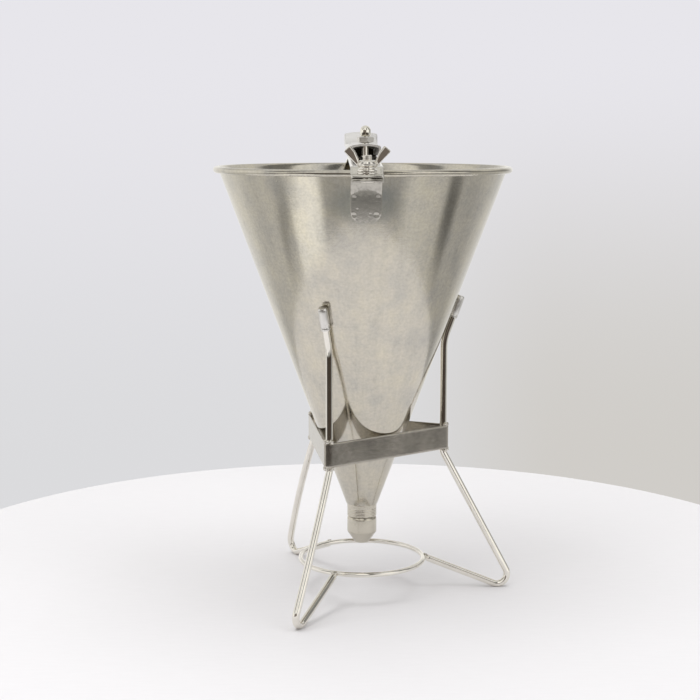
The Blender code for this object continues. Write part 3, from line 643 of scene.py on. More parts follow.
def steel(name, colour, rough, smudge=0.05, smudge_scale=45, grain_scale=700, stretch=(1, 1, 1),
          grain_depth=0.000012, streaks=0.0):
    """Bare steel: a fine grain, with faint smudges in tone and gloss."""
    material, tree, shader = node_tree(name)
    marks = noise_map(tree, smudge_scale)
    low = tuple(c * (1 - smudge) for c in colour)
    high = tuple(min(c * (1 + smudge), 1) for c in colour)
    tone = ramp(tree, marks, [(0.32, low), (0.68, high)])
    grain = noise_map(tree, grain_scale, stretch, 3.0, 0.7)
    if streaks:
        tone = blend(tree, "MULTIPLY", 1.0, tone, ramp(tree, grain, [(0.35, 1 - streaks), (0.65, 1.0)]))
    gloss = ramp(tree, marks, [(0.3, rough * 0.85), (0.7, rough * 1.2)])
    metal(tree, shader, tone, gloss, grain, grain_depth)
    return material


def spun_sheet(name, colour, rough):
    """Satin sheet: fine lines run round it, with blotches, small marks and a cooler, darker patch round the
    brackets.
    """
    material, tree, shader = node_tree(name)
    x, y, z = parts_of(tree, "Object")
    side = math_node(tree, "SUBTRACT", x, funnel_axis.x)
    turn = math_node(tree, "ARCTAN2", side, math_node(tree, "SUBTRACT", y, funnel_axis.y))
    lines = spun_noise(tree, turn, z, 1, 260, Scale=6, Detail=5, Roughness=0.75)
    drawn = spun_noise(tree, turn, z, 16, 22, Scale=1, Detail=4, Roughness=0.7)
    blotches = noise_map(tree, 42, detail=6, roughness=0.7)
    marks = noise_map(tree, 150, detail=2, roughness=0.5)
    specks = noise_map(tree, 620, detail=2)
    cool = tuple(c * share for c, share in zip(colour, (0.87, 0.885, 0.92)))
    warm = tuple(c * share for c, share in zip(colour, (1.08, 1.07, 1.02)))
    tone = ramp(tree, blotches, [(0.34, cool), (0.50, colour), (0.66, warm)])
    for source, low, high, least in ((drawn, 0.38, 0.62, 0.955), (specks, 0.36, 0.62, 0.90),
                                     (lines, 0.35, 0.65, 0.95), (marks, 0.27, 0.36, 0.92)):
        tone = blend(tree, "MULTIPLY", 1.0, tone, ramp(tree, source, [(low, least), (high, 1.0)]))
    # A cooler, darker patch round the brackets, front and back alike.
    across = math_node(tree, "DIVIDE", side, tint_reach)
    along = math_node(tree, "DIVIDE", math_node(tree, "SUBTRACT", z, tint_height), tint_rise)
    squares = (math_node(tree, "MULTIPLY", part, part) for part in (across, along))
    far = math_node(tree, "SQRT", math_node(tree, "ADD", *squares))
    tint = math_node(tree, "SUBTRACT", 1, spread(tree, far, 0.55, 1.15))
    tone = blend(tree, "MULTIPLY", tint, tone, tint_colour)
    gloss = ramp(tree, blotches, [(0.3, rough * 1.15), (0.7, rough * 0.88)])
    metal(tree, shader, tone, gloss, lines, 0.000006)
    return material


def spotted(name, colour, rough):
    """Steel darker by height below its bend, most a little above halfway up, with small spots."""
    material, tree, shader = node_tree(name)
    spots = noise_map(tree, 420, detail=3)
    z = parts_of(tree, "Object")[2]
    height = math_node(tree, "ADD", z, math_node(tree, "MULTIPLY", spots, 0.0030))
    # Darker by height: least at the foot, most a little above halfway, lighter again near the bend.
    height_tone = ramp(tree, spread(tree, height, bracket_low, ledge_top),
                 [(0.02, 0.95), (0.22, 0.78), (0.52, 0.62), (0.70, 0.60), (0.76, 0.86)])
    dull = tuple(c * 0.80 for c in colour)
    clean = tuple(c * 1.08 for c in colour)
    tone = ramp(tree, spots, [(0.34, dull), (0.52, colour), (0.70, clean)])
    gloss = ramp(tree, spots, [(0.3, rough * 1.3), (0.7, rough * 0.8)])
    metal(tree, shader, blend(tree, "MULTIPLY", 1.0, tone, height_tone), gloss, spots, 0.00003)
    return material


def dress(piece, material, body, *nodes):
    """Gives a piece its finish or finishes, the body it moves with and the nodes it stands for."""
    piece.data.materials.clear()
    for finish in material if isinstance(material, tuple) else (material,):
        piece.data.materials.append(finish)
    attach(piece, body)
    if nodes:
        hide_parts(*nodes)


# Pieces of the funnel


def funnel_shell():
    """The sheet cone with its rolled rim."""
    centre = (rim_radius - bead_radius, rim_top - bead_radius)
    bead = arc(centre, bead_radius, bead_start, bead_end + 2 * math.pi, 30)
    rows = [i / shell_rows for i in range(shell_rows + 1)]
    foot, top = outlet_height, bead[0][1]
    outside = [(cone_outer(foot + (top - foot) * t), foot + (top - foot) * t) for t in rows]
    lean = top + bead_radius / 2
    inside = [(cone_outer(lean + (foot - lean) * t) - wall_step, lean + (foot - lean) * t) for t in rows]
    bm = turned(outside[:-1] + bead + inside, shell_sides)
    for vert in bm.verts:
        out = Vector((vert.co.x, vert.co.y, 0)).normalized()
        place = Vector((out.x, out.y, vert.co.z * 9))
        vert.co += out * noise.noise(place * 1.6) * shell_waviness
    for face in bm.faces:
        middle = face.calc_center_median()
        reach = math.hypot(math.hypot(middle.x, middle.y) - centre[0], middle.z - centre[1])
        face.material_index = 1 if reach < bead_radius * 1.01 else 0
    return link("funnel_shell", bm)


def collar():
    """The threaded collar under the cone."""
    def thread(radius, height, a):
        inside = radius < collar_radius - 2 * thread_depth
        low, high = collar_bottom + 0.0008, collar_top - 0.0030
        if inside or height < low or height > high:
            return radius
        wave = 0.5 + 0.5 * math.cos(2 * math.pi * (height / thread_pitch) - a)
        return radius - thread_depth * wave

    rows = 64
    low, high = collar_bottom, collar_top
    outer = [(collar_radius, low + (high - low) * i / rows) for i in range(1, rows)]
    shoulder = low + socket_depth
    points = [(collar_radius - 0.0003, low)] + outer
    points += arc((collar_radius - 0.0005, high - 0.0001), 0.0005, 0, math.pi / 2, 6)
    points += [(collar_radius - 2 * wall_step, high), (collar_bore, high - wall_step)]
    points += [(collar_bore, shoulder), (socket_radius, shoulder), (socket_radius, low)]
    return link("threaded_collar", turned(points, 128, radius_at=thread))


def spout():
    """The screw-in nozzle."""
    points = [(nozzle_tip, nozzle_bottom), (collar_radius, nozzle_shoulder)]
    points += [(collar_radius, nozzle_top - nozzle_edge_height), (collar_radius - nozzle_edge, nozzle_top)]
    points += [(nozzle_spigot, nozzle_top), (nozzle_spigot, nozzle_spigot_top)]
    points += [(nozzle_seat_radius, nozzle_spigot_top), (nozzle_seat_radius, nozzle_shoulder)]
    points += [(nozzle_mouth, nozzle_bottom + nozzle_land), (nozzle_mouth, nozzle_bottom)]
    return link("spout", turned(eased(points, nozzle_ease), 128))


# Pieces of the stand


def tangent_point(point, centre, radius, side):
    """Where a line from a point touches a circle, on one side of it."""
    between = centre - point
    turn = math.atan2(-between.y, -between.x) + side * math.acos(radius / between.length)
    return centre + Vector((math.cos(turn), math.sin(turn))) * radius


def leg_profile(index):
    """Centre line of a leg wire as (radius, height)."""
    centre = Vector((foot_bend_reaches[index], foot_bend_radius + leg_wire - foot_flat_depth))
    knee = Vector((upright_radius, band_low - leg_wire))
    ring_end = Vector((ring_radius, ring_height))
    inner = tangent_point(ring_end, centre, foot_bend_radius, 1)
    outer = tangent_point(knee, centre, foot_bend_radius, -1)
    start = ring_end + (inner - ring_end).normalized() * (ring_wire + gap)
    a = math.atan2(inner.y - centre.y, inner.x - centre.x)
    b = math.atan2(outer.y - centre.y, outer.x - centre.x)
    bend = Vector((upright_radius, tip_bend_height))
    tip = Vector((cone_outer(tip_height) + tip_offset, tip_height))
    upper = rounded([outer, knee, bend, tip], [knee_radius, tip_bend_radius], 12)
    foot = [Vector(p) for p in arc(centre, foot_bend_radius, a, b, 26)]
    return finer([start] + foot + upper[1:], 0.004)


def leg_path(index):
    """One leg wire in space."""
    knee = band_low - leg_wire
    path = []
    for radius, height in leg_profile(index):
        share = kept_share((knee - height) / knee)
        azimuth = leg_turn + 2 * math.pi * index / 3 + foot_turns[index] * share
        path.append(Vector((radius * math.cos(azimuth), radius * math.sin(azimuth), height)))
    return path


def leg(index, name):
    """One bent leg wire, worn flat where it stands."""
    path = round_end(leg_path(index)[::-1], 2 * leg_wire)

    def outline_at(i):
        return circle_of((0, 0), leg_wire * end_share(path, i, 2 * leg_wire), 28)

    bm = swept(path, outline_at)
    for vert in bm.verts:
        vert.co.z = max(vert.co.z, 0.00002)
    return link(name, bm)


def base_ring():
    """The wire ring that ties the feet together."""
    circle = [(x, y, ring_height) for x, y in circle_of((0, 0), ring_radius, 200)]
    return link("ring_wire", wire(circle, ring_wire, 24, closed=True))


def band():
    """The triangular band round the uprights, its edges rounded."""
    inner = leg_wire + gap
    half = band_thickness / 2
    loop = []
    for index in range(3):
        azimuth = leg_turn + 2 * math.pi * index / 3
        centre = (upright_radius * math.cos(azimuth), upright_radius * math.sin(azimuth))
        corner = arc(centre, inner + half, azimuth - math.pi / 3, azimuth + math.pi / 3, 14)
        loop += [Vector((x, y, 0)) for x, y in corner]
    path = finer(loop + [loop[0]], 0.004)[:-1]
    count = len(path)
    section = []
    for z, side in ((band_low, -1), (band_top, 1)):
        section += [(-side * half * c, z + side * (s - 1) * half) for c, s in
                    [(math.cos(t), math.sin(t)) for t in [math.pi * k / 6 for k in range(7)]]]
        section += [(side * half, z - side * 2 * band_thickness), (side * half, (band_low + band_top) / 2)]
        section += [(side * half, band_low + band_top - z + side * 2 * band_thickness)]
    bm = bmesh.new()
    rings = []
    for u, z in section:
        ring = []
        for i, point in enumerate(path):
            ahead = (path[(i + 1) % count] - path[i - 1]).normalized()
            out = Vector((ahead.y, -ahead.x, 0))
            ring.append(bm.verts.new(Vector((point.x, point.y, z)) + out * u))
        rings.append(ring)
    loft(bm, rings, around=True)
    return link("cradle", bm)


def tip_sleeve(index, name):
    """A grey sleeve pressed over the end of an upright."""
    path = leg_path(index)
    ahead = (path[-1] - path[-2]).normalized()
    inner = leg_wire + gap
    start = -cap_length + gap
    end = cap_end + gap
    taper, groove = cap_radius * 0.97, cap_radius * 0.94
    points = [(inner, start), (taper, start), (cap_radius, start + 0.0006), (cap_radius, start + 0.0016)]
    points += [(groove, start + 0.0019), (groove, start + 0.0023), (cap_radius, start + 0.0027)]
    points += [(cap_radius, -0.006), (cap_radius * 0.985, -0.002), (taper, end - 0.0010)]
    points += [(cap_radius * 0.80, end - 0.0002), (cap_radius * 0.5, end), (0, end), (0, gap), (inner, gap)]
    place = Matrix.Translation(path[-1]) @ ahead.to_track_quat("Z", "Y").to_matrix().to_4x4()
    return link(name, turned(points, 40, place=place))


def weld_beads():
    """Lumpy weld beads where the band and the foot wires meet the wires they are fixed to."""
    bm = bmesh.new()
    spots = []
    for index in range(3):
        azimuth = leg_turn + 2 * math.pi * index / 3
        out = Vector((math.cos(azimuth), math.sin(azimuth), 0))
        side = Vector((-out.y, out.x, 0))
        for height, size in ((band_top + 0.0004, 0.0017), (band_low - 0.0006, 0.0019)):
            level = Vector((0, 0, height))
            for across in (-1, 1):
                near = out * (upright_radius + weld_out) + side * across * weld_apart
                spots.append((near + level, size))
            spots.append((out * (upright_radius + weld_far) + level, size * 0.8))
        foot = leg_path(index)[0]
        spots.append((Vector((foot.x, foot.y, ring_height - 0.0002)), 0.0021))
    for number, (place, size) in enumerate(spots):
        lump = bmesh.ops.create_icosphere(bm, subdivisions=4, radius=size, matrix=Matrix.Translation(place))
        for vert in lump["verts"]:
            push = noise.noise(vert.co * 900 + Vector((number, 0, 0)))
            vert.co += (vert.co - place).normalized() * push * size * 0.25
    return link("weld_beads", bm)


# Brackets, strip, clamp


def end_draw(place, width):
    """How far a point beyond the stud is drawn in, so that its strip's end bulges."""
    beyond = max(abs(place.y) - stud_reach, 0) / (front_end - stud_reach)
    return end_bulge * (place.x / width * 2) ** 2 * beyond


def bracket(name, ledge_reach, facing, dimples):
    """A strip fixed to the cone under the rim and bent out into a ledge."""
    level = ledge_top - bracket_thickness / 2
    lift = (bracket_thickness / 2 + gap) / math.cos(wall_angle)
    corners = [(cone_outer(bracket_low) + lift, bracket_low), (cone_outer(level) + lift, level)]
    corners.append((ledge_reach, level))
    line = round_end(finer(rounded(corners, [bracket_bend], 8), 0.0005), bracket_thickness)
    start = line[0]

    def outline_at(i):
        half = bracket_width / 2 - corner_cut((line[i] - start).length, bracket_corner)
        half -= corner_cut((line[-1] - line[i]).length, ledge_corner)
        thickness = bracket_thickness * end_share(line, i, bracket_thickness)
        return flat_outline(2 * max(half, bracket_tip_half), thickness, 36, 0.35 * thickness)

    bm = strip([(p.x * facing, p.y) for p in line], outline_at)
    slope = Vector((0, facing * math.cos(wall_angle), -math.sin(wall_angle)))
    for vert in bm.verts:
        sunk = 0
        for x, z, radius, depth in dimples:
            face = Vector((x, facing * (cone_outer(z) + 2 * lift), z))
            away = vert.co - face
            flat = (away - slope * away.dot(slope)).length / radius
            if flat < 1.5 and away.dot(slope) > -bracket_thickness / 2:
                sunk += depth * (math.exp(-3.2 * flat * flat) - 0.15 * math.exp(-14 * (flat - 1) ** 2))
        bow_start = bracket_bow_height - bracket_bow_crown * (vert.co.x / bracket_width * 2) ** 2
        bowed = max(vert.co.z - bow_start, 0) if dimples and vert.co.z < level else 0
        vert.co += slope * (bracket_bow_rate * bowed * bowed - sunk)
        vert.co.y -= facing * end_draw(vert.co, bracket_width)
    return link(name, bm)


def strip_line():
    """Mid line of the strip from the clamp over the funnel to the handle's foot."""
    low = strip_low - handle_drop
    foot = low - handle_foot_rise
    lift = (strip_thickness / 2 + gap) / math.cos(wall_angle)
    end = foot - handle_foot_length * math.cos(wall_angle)
    corners = [(-front_end, strip_low), (-riser_foot, strip_low), (-riser_top, strip_over_rim),
               (-bridge_flat, strip_high), (bridge_flat, strip_high), (bow_end, strip_over_rim),
               (riser_top, strip_over_rim), (riser_foot, strip_low), (handle_reach, strip_low),
               (handle_reach - handle_lean, low)]
    corners += [(cone_outer(level) + lift, level) for level in (foot, end)]
    return rounded(corners, [strip_bend] * 7 + [handle_top_bend, handle_low_bend, handle_foot_bend], 10)


def bridge_strip():
    """The strip that is clamped, crosses the mouth and goes on as the handle."""
    path = round_end(finer(strip_line(), 0.004)[::-1], strip_thickness)

    def outline_at(i):
        half = strip_width / 2 - corner_cut((path[-1] - path[i]).length, ledge_corner)
        thickness = strip_thickness * end_share(path, i, strip_thickness)
        return flat_outline(2 * half, thickness, 10, min(0.0005, 0.35 * thickness))

    bm = strip(path, outline_at)
    for vert in bm.verts:
        if vert.co.y < -stud_reach:
            vert.co.y += end_draw(vert.co, strip_width)
    piece = link("bridge_strip", bm)
    holes = []
    for radius, x, y, z in ((rod_radius + gap, rod_lean(strip_high), 0, strip_high),
                            (stud_radius + gap, 0, -stud_reach, strip_low),
                            (rivet_hole, -rivet_spread / 2, rivet_reach, strip_low),
                            (rivet_hole, rivet_spread / 2, rivet_reach, strip_low)):
        tube = turned([(0, -0.004), (radius, -0.004), (radius, 0.004), (0, 0.004)], 48,
                      place=Matrix.Translation((x, y, z)))
        holes.append(link("hole", tube))
    carve(piece, holes)
    return piece


def stud():
    """The threaded stud, its low head under the ledge."""
    under = ledge_top - bracket_thickness - gap
    top = hub_bottom + stud_rise

    def thread(radius, height, a):
        if abs(radius / stud_radius - 1) > 0.02 or not hub_bottom < height < top - 0.0004:
            return radius
        return radius - stud_groove * (1 + math.cos(2 * math.pi * height / stud_pitch - a))

    rows = [(stud_radius, under + (top - 0.0003 - under) * i / 150) for i in range(151)]
    head = [(radius, under - drop) for radius, drop in stud_head]
    points = head + rows + [(stud_radius - 0.0005, top), (0, top)]
    return link("stud", turned(points, 64, place=Matrix.Translation((0, -stud_reach, 0)), radius_at=thread))


def washer():
    """The plain washer under the wing nut."""
    inner, top = stud_radius + gap, washer_bottom + washer_thickness
    points = [(inner, washer_bottom), (washer_radius, washer_bottom), (washer_radius, top), (inner, top)]
    return link("washer", turned(eased(points, 0.0002), 64, place=Matrix.Translation((0, -stud_reach, 0))))


def wing_nut():
    """The cast wing nut: a waisted hub and two upswept wings with hollowed inner edges."""
    inner = stud_radius + gap
    hub = [(inner, 0), *hub_outline, (inner, hub_height)]
    place = Matrix.Translation((0, -stud_reach, hub_bottom))
    piece = link("wing_nut_cast", turned(hub, 96, place=place))
    wings = []
    for side in (-1, 1):
        outline = [(x * side, z) for x, z in wing_edge + wing_hollow + ((0.0042, 0.0058),)]
        bm = slab(outline, -wing_half, wing_half, axis="Y")
        for vert in bm.verts:
            vert.co.y *= 1 - wing_taper * abs(vert.co.x) / wing_tip
        bmesh.ops.transform(bm, matrix=place, verts=bm.verts)
        wings.append(link("wing", bm))
    carve(piece, wings, "UNION")
    remesh = piece.modifiers.new("cast", "REMESH")
    remesh.mode = "VOXEL"
    remesh.voxel_size = cast_detail
    soften = piece.modifiers.new("soften", "SMOOTH")
    soften.factor = 0.5
    soften.iterations = 3
    settle(piece, math.radians(180))
    hub_place = funnel_axis + Vector((0, -stud_reach, hub_bottom))
    for vert in piece.data.vertices:
        x, y, z = vert.co - hub_place
        if abs(x) < wing_root:
            continue
        for edge, reach, least in ((wing_hollow, 0.0013, 0.25), (wing_edge, 0.0005, 0.6)):
            far = min(distance_to((abs(x), z), a, b) for a, b in zip(edge, edge[1:]))
            if far < reach:
                y *= least + (1 - least) * math.sin(far / reach * math.pi / 2)
        vert.co.y = hub_place.y + y
    return piece


def distance_to(point, start, end):
    """Distance of a flat point from a line's piece."""
    point, start, end = Vector(point), Vector(start), Vector(end)
    along = end - start
    share = kept_share((point - start).dot(along) / along.length_squared)
    return (point - start - along * share).length


# Valve, nuts and lever


def rod_lean(height):
    """How far the rod's centre is from the funnel's axis at a height."""
    return offset * (height - plug_top) / (cap_nut_bottom - plug_top)


def rod():
    """The polished valve rod."""
    low, high = plug_top - 0.0047, cap_nut_bottom + 0.0035
    rows = [(rod_radius, low + (high - low) * i / 40) for i in range(41)]
    bm = turned([(0, low)] + rows + [(0, high)], 48)
    for vert in bm.verts:
        vert.co.x += rod_lean(vert.co.z)
    return link("rod", bm)


def hex_nut():
    """The hexagon nut with its corners chamfered round and a dished seat on which the lever can rock."""
    corner = nut_across / 2 / math.cos(math.pi / 6)
    flat = nut_across / 2
    top = nut_bottom + nut_height
    ring_count = 96
    bore = rod_radius + gap
    inner = flat * 0.94
    low = nut_bottom + nut_seat + nut_seat_rise
    outline = [(bore, nut_bottom + nut_seat, 0), (inner, low, 0)]
    chamfer = [(inner + (corner - inner) * step / 6, nut_chamfer * step / 6, 1) for step in range(1, 7)]
    outline += [(r, low + z, limited) for r, z, limited in chamfer]
    outline += [(r, top - z, limited) for r, z, limited in reversed(chamfer)]
    outline += [(inner, top, 0), (bore, top, 0)]
    bm = bmesh.new()
    rings = []
    for radius, z, limited in outline:
        ring = []
        for i in range(ring_count):
            a = 2 * math.pi * i / ring_count
            within = math.fmod(a, math.pi / 3) - math.pi / 6
            reach = min(radius, flat / math.cos(within)) if limited else radius
            angle = a + nut_turn - math.pi / 2
            ring.append(bm.verts.new((offset + reach * math.cos(angle), reach * math.sin(angle), z)))
        rings.append(ring)
    loft(bm, rings, around=True)
    return link("hex_nut", bm, math.radians(24))


def dome_nut():
    """The mirror-polished domed cap."""
    r = cap_nut_radius
    bore = rod_radius + gap
    low, top = cap_nut_bottom, cap_nut_bottom + cap_nut_height
    dome = arc((0, top - r), r, 0, math.pi / 2, 24)[:-1]
    points = [(bore, low), (r * 0.88, low), (r * 0.97, low + 0.0002), (r, low + 0.0006)] + dome
    points += [(0, top), (0, low + 0.0038), (bore, low + 0.0038)]
    return link("dome_nut", turned(points, 96, place=Matrix.Translation((offset, 0, 0))))


def lever_line():
    """Mid line of the lever's web with the depth of its side walls at each point."""
    level = lever_top - lever_thickness / 2
    path = []
    for (y0, d0), (y1, d1) in zip(lever_stops, lever_stops[1:]):
        count = max(1, round((y1 - y0) / lever_step))
        shares = [i / count for i in range(count)]
        path += [(Vector((y0 + (y1 - y0) * s, level)), d0 + (d1 - d0) * s) for s in shares]
    low = -math.pi / 2
    bend = arc((lever_stops[-1][0], level + thumb_bend), thumb_bend, low, low + thumb_turn, 12)
    rise = Vector((math.cos(thumb_turn), math.sin(thumb_turn)))
    end = Vector(bend[-1]) + rise * thumb_rise
    centre = end + Vector((rise.y, -rise.x)) * curl_radius
    back = math.pi / 2 + thumb_turn
    curl = arc(centre, curl_radius, back, back - curl_turn, 12)
    return path + [(Vector(p), thumb_depth) for p in bend + curl]


def channel(width, depth, rib):
    """A channel section with an arched web, its rib and rounded upper corners, open below."""
    t = lever_thickness
    sides = []
    for half, top, radius in ((width / 2, t / 2, 0.0016), (width / 2 - t, -t / 2 - rib, 0.0006)):
        side = top - lever_arch
        low = t / 2 - max(depth, lever_arch + t + rib + lever_lip)
        corner = arc((half - radius, side - radius + 0.0002), radius, 0, math.pi / 2, 5)
        shares = [1 - i / 8 for i in range(1, 16)]
        web = [((half - radius) * s, top - lever_arch * s * s + 0.0002 * s * s) for s in shares]
        sides.append([(half, low)] + corner + web + [(-u, v) for u, v in reversed(corner)] + [(-half, low)])
    outer, inner = sides
    return outer + list(reversed(inner))


def thumb_lever():
    """The thumb lever: an arched channel whose end is bent up and curled."""
    line = lever_line()
    reach = [p.x for p, d in line]

    def outline_at(i):
        share = kept_share((reach[i] - 0.106) / 0.015) if i < len(line) - 20 else 1
        rise = kept_share((reach[i] - rib_start) / rib_ease) * kept_share((rib_end - reach[i]) / rib_ease)
        return channel(lever_width + (thumb_width - lever_width) * share, line[i][1], lever_rib * rise)

    bm = strip([p for p, d in line], outline_at)
    # The channel's inner faces take the second finish: near-black painted shade inside the lever.
    outer_count = len(outline_at(0)) // 2
    bm.verts.ensure_lookup_table()
    for face in bm.faces:
        places = [vert.index % (2 * outer_count) for vert in face.verts]
        face.material_index = 1 if len(places) == 4 and min(places) >= outer_count else 0
    bmesh.ops.translate(bm, verts=bm.verts, vec=(offset, 0, 0))
    piece = link("lever", bm)
    circle = circle_of((pivot_reach, pivot_height), pin_hole, 32)
    half = rod_radius + gap
    slot = arc((offset, 0), half, 0, math.pi, 16) + arc((offset, -0.0017), half, math.pi, 2 * math.pi, 16)
    carve(piece, [link("pin_hole", slab(circle, -lever_width, 2 * lever_width, axis="X")),
                  link("rod_slot", slab(slot, 0.300, 0.312))])
    return piece


def ear_bracket():
    """The folded bracket that carries the lever's pin: base, shouldered front wall and two ears; it is
    finished near-black as painted shade.
    """
    near, far, half = pivot_reach - ear_reach, pivot_reach + ear_reach, ear_half
    top = lever_top - lever_thickness - gap
    base = [(-half, near), (half, near), (half, far), (-half, far)]
    piece = link("ear_base", slab(base, ear_low, ear_low + ear_thickness))
    crown = [(half * c, top - lever_arch * c * c) for c in [1 - i / 8 for i in range(17)]]
    foot = [(-half, ear_shoulder), (-ear_foot_half, ear_shoulder), (-ear_foot_half, ear_low)]
    foot += [(-x, z) for x, z in reversed(foot)]
    ears = [link("ear_wall", slab(foot + crown, near, near + ear_thickness, axis="Y"))]
    low = ear_low + ear_sink
    ear = arc((pivot_reach, pivot_height), ear_radius, math.pi, 0, 24)
    ear = [(near + ear_sink, low)] + ear + [(far - ear_sink, low)]
    for side in (-1, 1):
        left, right = sorted((side * (half - ear_sink), side * (half - ear_sink - ear_thickness)))
        ears.append(link("ear", slab(ear, left, right, axis="X")))
    carve(piece, ears, "UNION")
    circle = circle_of((pivot_reach, pivot_height), pin_hole, 32)
    carve(piece, [link("hole", slab(circle, -lever_width, lever_width, axis="X"))])
    piece.data.transform(Matrix.Translation((offset, 0, 0)))
    return piece


def coil():
    """The return spring between the strip and the lever."""
    steps = 28
    count = spring_turns * steps
    path = []
    for i in range(count + 1):
        a = 2 * math.pi * i / steps
        height = spring_low + spring_wire + spring_height * i / count
        x, y = spring_radius * math.cos(a), spring_radius * math.sin(a)
        path.append((offset + x, spring_reach + y, height))
    return link("coil", wire(path, spring_wire, 12))


def rivet(side, name):
    """A domed rivet through the strip and the rear bracket."""
    top = strip_low + strip_thickness / 2 + gap
    under = ledge_top - bracket_thickness - gap
    dome = arc((0, top - 0.0036), 0.0048, math.asin(0.75), math.pi / 2, 10)[:-1]
    points = [(0, under - 0.0012), (0.0022, under - 0.0011), (0.0031, under - 0.0003), (0.0031, under)]
    points += [(rivet_radius, under), (rivet_radius, top), (0.0032, top)] + dome[1:] + [(0, top + 0.0012)]
    return link(name, turned(points, 40, place=Matrix.Translation((side * rivet_spread / 2, rivet_reach, 0))))


# Camera, stage and light


def make_camera():
    """The photograph's view."""
    data = bpy.data.cameras.new("camera")
    data.lens = camera_lens
    data.sensor_width = sensor_width
    data.clip_start = 0.01
    camera = new_object("camera", data)
    ahead = Vector((math.sin(camera_yaw) * math.cos(camera_pitch),
                    math.cos(camera_yaw) * math.cos(camera_pitch), math.sin(camera_pitch)))
    turn = ahead.to_track_quat("-Z", "Y").to_matrix().to_4x4()
    place = Matrix.Translation(camera_place + funnel_axis)
    camera.matrix_world = place @ turn @ Matrix.Rotation(camera_roll, 4, "Z")
    bpy.context.scene.camera = camera


def make_stage():
    """A round white table."""
    edge = table_edge_radius
    rim = arc((table_radius - edge, -edge), edge, math.pi / 2, -math.pi / 2, 16)
    bm = turned([(0, 0)] + rim + [(0, -2 * edge)], table_sides)
    for vert in bm.verts:
        vert.co.y *= table_stretch if vert.co.y < 0 else 1
    bmesh.ops.translate(bm, verts=bm.verts, vec=table_centre)
    table = link("table", bm)
    material, tree, shader = node_tree("table_finish")
    weave = noise_map(tree, 60, (1, 6, 1))
    low = tuple(c * 0.985 for c in table_colour)
    tree.links.new(ramp(tree, weave, [(0.35, low), (0.65, table_colour)]), shader.inputs["Base Color"])
    shader.inputs["Roughness"].default_value = 0.75
    table.data.materials.append(material)


def by_azimuth(tree, azimuth, stops):
    """Levels of light or colours round the room, kept within a colour ramp's range."""
    levels = []
    for turn, level in stops:
        level = tuple(c / room_gain for c in level) if isinstance(level, tuple) else level / room_gain
        levels.append(((turn + 180) / 360, level))
    return ramp(tree, azimuth, levels)


def band_between(tree, value, low, high, soft):
    """One where a value lies between two limits, falling smoothly to zero outside them."""
    rise = spread(tree, value, low - soft, low)
    fall = math_node(tree, "SUBTRACT", 1, spread(tree, value, high, high + soft))
    return math_node(tree, "MULTIPLY", rise, fall)


def make_world():
    """Soft light all round, with the dim room in front and narrow dim gaps at the sides."""
    world = bpy.data.worlds.new("studio")
    bpy.context.scene.world = world
    world.use_nodes = True
    tree = world.node_tree
    x, y, z = parts_of(tree, "Generated")
    facing = math_node(tree, "ARCTAN2", x, math_node(tree, "MULTIPLY", y, -1))
    degrees = math_node(tree, "MULTIPLY", facing, 180 / math.pi)
    turn = math_node(tree, "ADD", math_node(tree, "DIVIDE", degrees, 360), 0.5)
    height = math_node(tree, "MULTIPLY", math_node(tree, "ARCSINE", z), 180 / math.pi)
    gaps = []
    for depth, slope, across, along in side_gaps:
        lean = math_node(tree, "MULTIPLY", math_node(tree, "ADD", height, depth), slope)
        leaning = band_between(tree, math_node(tree, "ADD", degrees, lean), *across)
        gaps.append(math_node(tree, "MULTIPLY", leaning, band_between(tree, degrees, *along)))
    colour = by_azimuth(tree, turn, floor_room)
    colour = blend(tree, "MULTIPLY", math_node(tree, "ADD", *gaps), colour, (side_gap, side_gap, side_gap))
    for low, high, stops in room_layers:
        colour = blend(tree, "MIX", spread(tree, height, low, high), colour, by_azimuth(tree, turn, stops))
    colour = blend(tree, "MIX", spread(tree, height, *ceiling_rise), colour, ceiling)
    colour = blend(tree, "MULTIPLY", 1.0, colour, tuple(room_gain * c for c in room_tint))
    rise = spread(tree, height, *backdrop_rise)
    low = math_node(tree, "SUBTRACT", 1, rise)
    corner = math_node(tree, "MULTIPLY", spread(tree, x, *backdrop_side), low)
    seen = blend(tree, "MIX", rise, backdrop_low, backdrop_high)
    seen = blend(tree, "MIX", corner, seen, backdrop_right)
    path = add(tree, "ShaderNodeLightPath").outputs["Is Camera Ray"]
    feed(tree, tree.nodes["Background"].inputs["Color"], blend(tree, "MIX", path, colour, seen))


def make_lights():
    """Large soft lamps above, left, right and behind."""
    for name, place, size, power in lamps:
        data = bpy.data.lights.new(name, "AREA")
        data.shape = "SQUARE"
        data.size = size
        data.energy = power
        lamp = new_object(name, data)
        lamp.visible_glossy = False
        spot = Vector(place) + funnel_axis
        aim = lamp_aim + funnel_axis - spot
        lamp.matrix_world = Matrix.Translation(spot) @ aim.to_track_quat("-Z", "Y").to_matrix().to_4x4()


bpy.context.scene.view_settings.view_transform = "Standard"
make_camera()
make_stage()
make_world()
make_lights()

sheet = spun_sheet("sheet_steel", (0.645, 0.61, 0.53), 0.13)
rim_finish = steel("rim_steel", (0.82, 0.80, 0.755), 0.07, smudge=0.04)
bracket_finish = spotted("bracket_steel", (0.56, 0.537, 0.485), 0.11)
polished = steel("polished_steel", (0.62, 0.595, 0.53), 0.13, smudge=0.05, smudge_scale=160)
strip_finish = steel("strip_steel", (0.66, 0.64, 0.59), 0.12, smudge=0.04, stretch=(12, 1, 1))
lever_finish = steel("lever_steel", (0.93, 0.92, 0.91), 0.46, smudge=0.02)
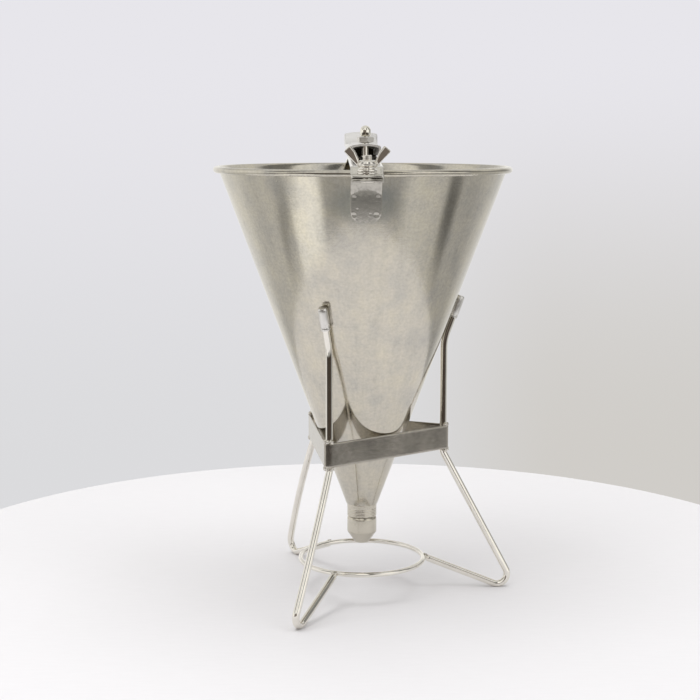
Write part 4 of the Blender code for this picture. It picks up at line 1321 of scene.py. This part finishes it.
# Near-black painted shade, used inside the lever's channel and on the pivot bracket
painted_shade_finish = steel("painted_shade_steel", (0.05, 0.045, 0.035), 0.45, smudge=0.2, smudge_scale=200)
wire_finish = steel("wire_steel", (0.84, 0.81, 0.745), 0.08, smudge=0.05, smudge_scale=90)
band_finish = steel("band_steel", (0.53, 0.495, 0.435), 0.20, smudge=0.12, grain_scale=260,
                    stretch=(1, 1, 14), grain_depth=0.00003, streaks=0.35)
weld_finish = steel("weld_steel", (0.66, 0.63, 0.57), 0.16, smudge=0.2, smudge_scale=500)
sleeve_finish = steel("sleeve_steel", (0.76, 0.745, 0.715), 0.33, smudge=0.06, smudge_scale=120)
turned_finish = steel("turned_steel", (0.60, 0.565, 0.485), 0.24, smudge=0.04, grain_scale=500,
                      stretch=(1, 1, 8), grain_depth=0.00002)
cast_finish = steel("cast_steel", (0.80, 0.77, 0.71), 0.06, smudge=0.06, smudge_scale=300, grain_scale=900,
                    grain_depth=0.000004)
nut_finish = steel("nut_steel", (0.80, 0.78, 0.74), 0.42, smudge=0.06, smudge_scale=300)
mirror_finish = steel("mirror_steel", (0.86, 0.83, 0.74), 0.04, smudge=0.02, grain_depth=0.000002)

dress(funnel_shell(), (sheet, rim_finish), "funnel", "funnel_cone")
dress(collar(), turned_finish, "funnel", "outlet_collar")
dress(spout(), turned_finish, "spout", "nozzle")
dress(base_ring(), wire_finish, "stand", "base_ring")
for index, place in enumerate(("right", "rear", "front")):
    dress(leg(index, "wire_" + place), wire_finish, "stand", "leg_" + place)
    dress(tip_sleeve(index, "sleeve_" + place), sleeve_finish, "stand", "tip_cap_" + place)
dress(band(), band_finish, "stand", "cradle_band")
dress(weld_beads(), weld_finish, "stand")
spots = [(x, z, spot_radius, spot_depth) for x, z in weld_spots]
spots += [(x, z, mark_radius, mark_depth) for x, z in weld_marks]
dress(bracket("bracket_front", front_end + 0.0006, -1, spots), bracket_finish, "funnel", "front_bracket")
dress(bracket("bracket_rear", rear_ledge, 1, []), polished, "funnel", "rear_bracket")
dress(bridge_strip(), strip_finish, "funnel", "bridge_handle")
dress(stud(), cast_finish, "funnel", "clamp_stud")
dress(washer(), cast_finish, "funnel", "clamp_washer")
dress(wing_nut(), cast_finish, "wing", "wing_nut")
dress(rod(), wire_finish, "valve", "valve_rod")
dress(hex_nut(), nut_finish, "valve", "lock_nut")
dress(dome_nut(), mirror_finish, "valve", "cap_nut")
dress(thumb_lever(), (lever_finish, painted_shade_finish), "lever", "thumb_lever")
spring = coil()
dress(spring, wire_finish, "funnel", "return_spring")
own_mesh(spring)
dress(ear_bracket(), painted_shade_finish, "funnel", "pivot_bracket")
for side, place in ((-1, "left"), (1, "right")):
    dress(rivet(side, "rivet_" + place), strip_finish, "funnel", "rear_rivet_" + place)
for name, finish in (("valve_plug", turned_finish), ("pivot_pin", cast_finish)):
    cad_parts[name].data.materials[0] = finish
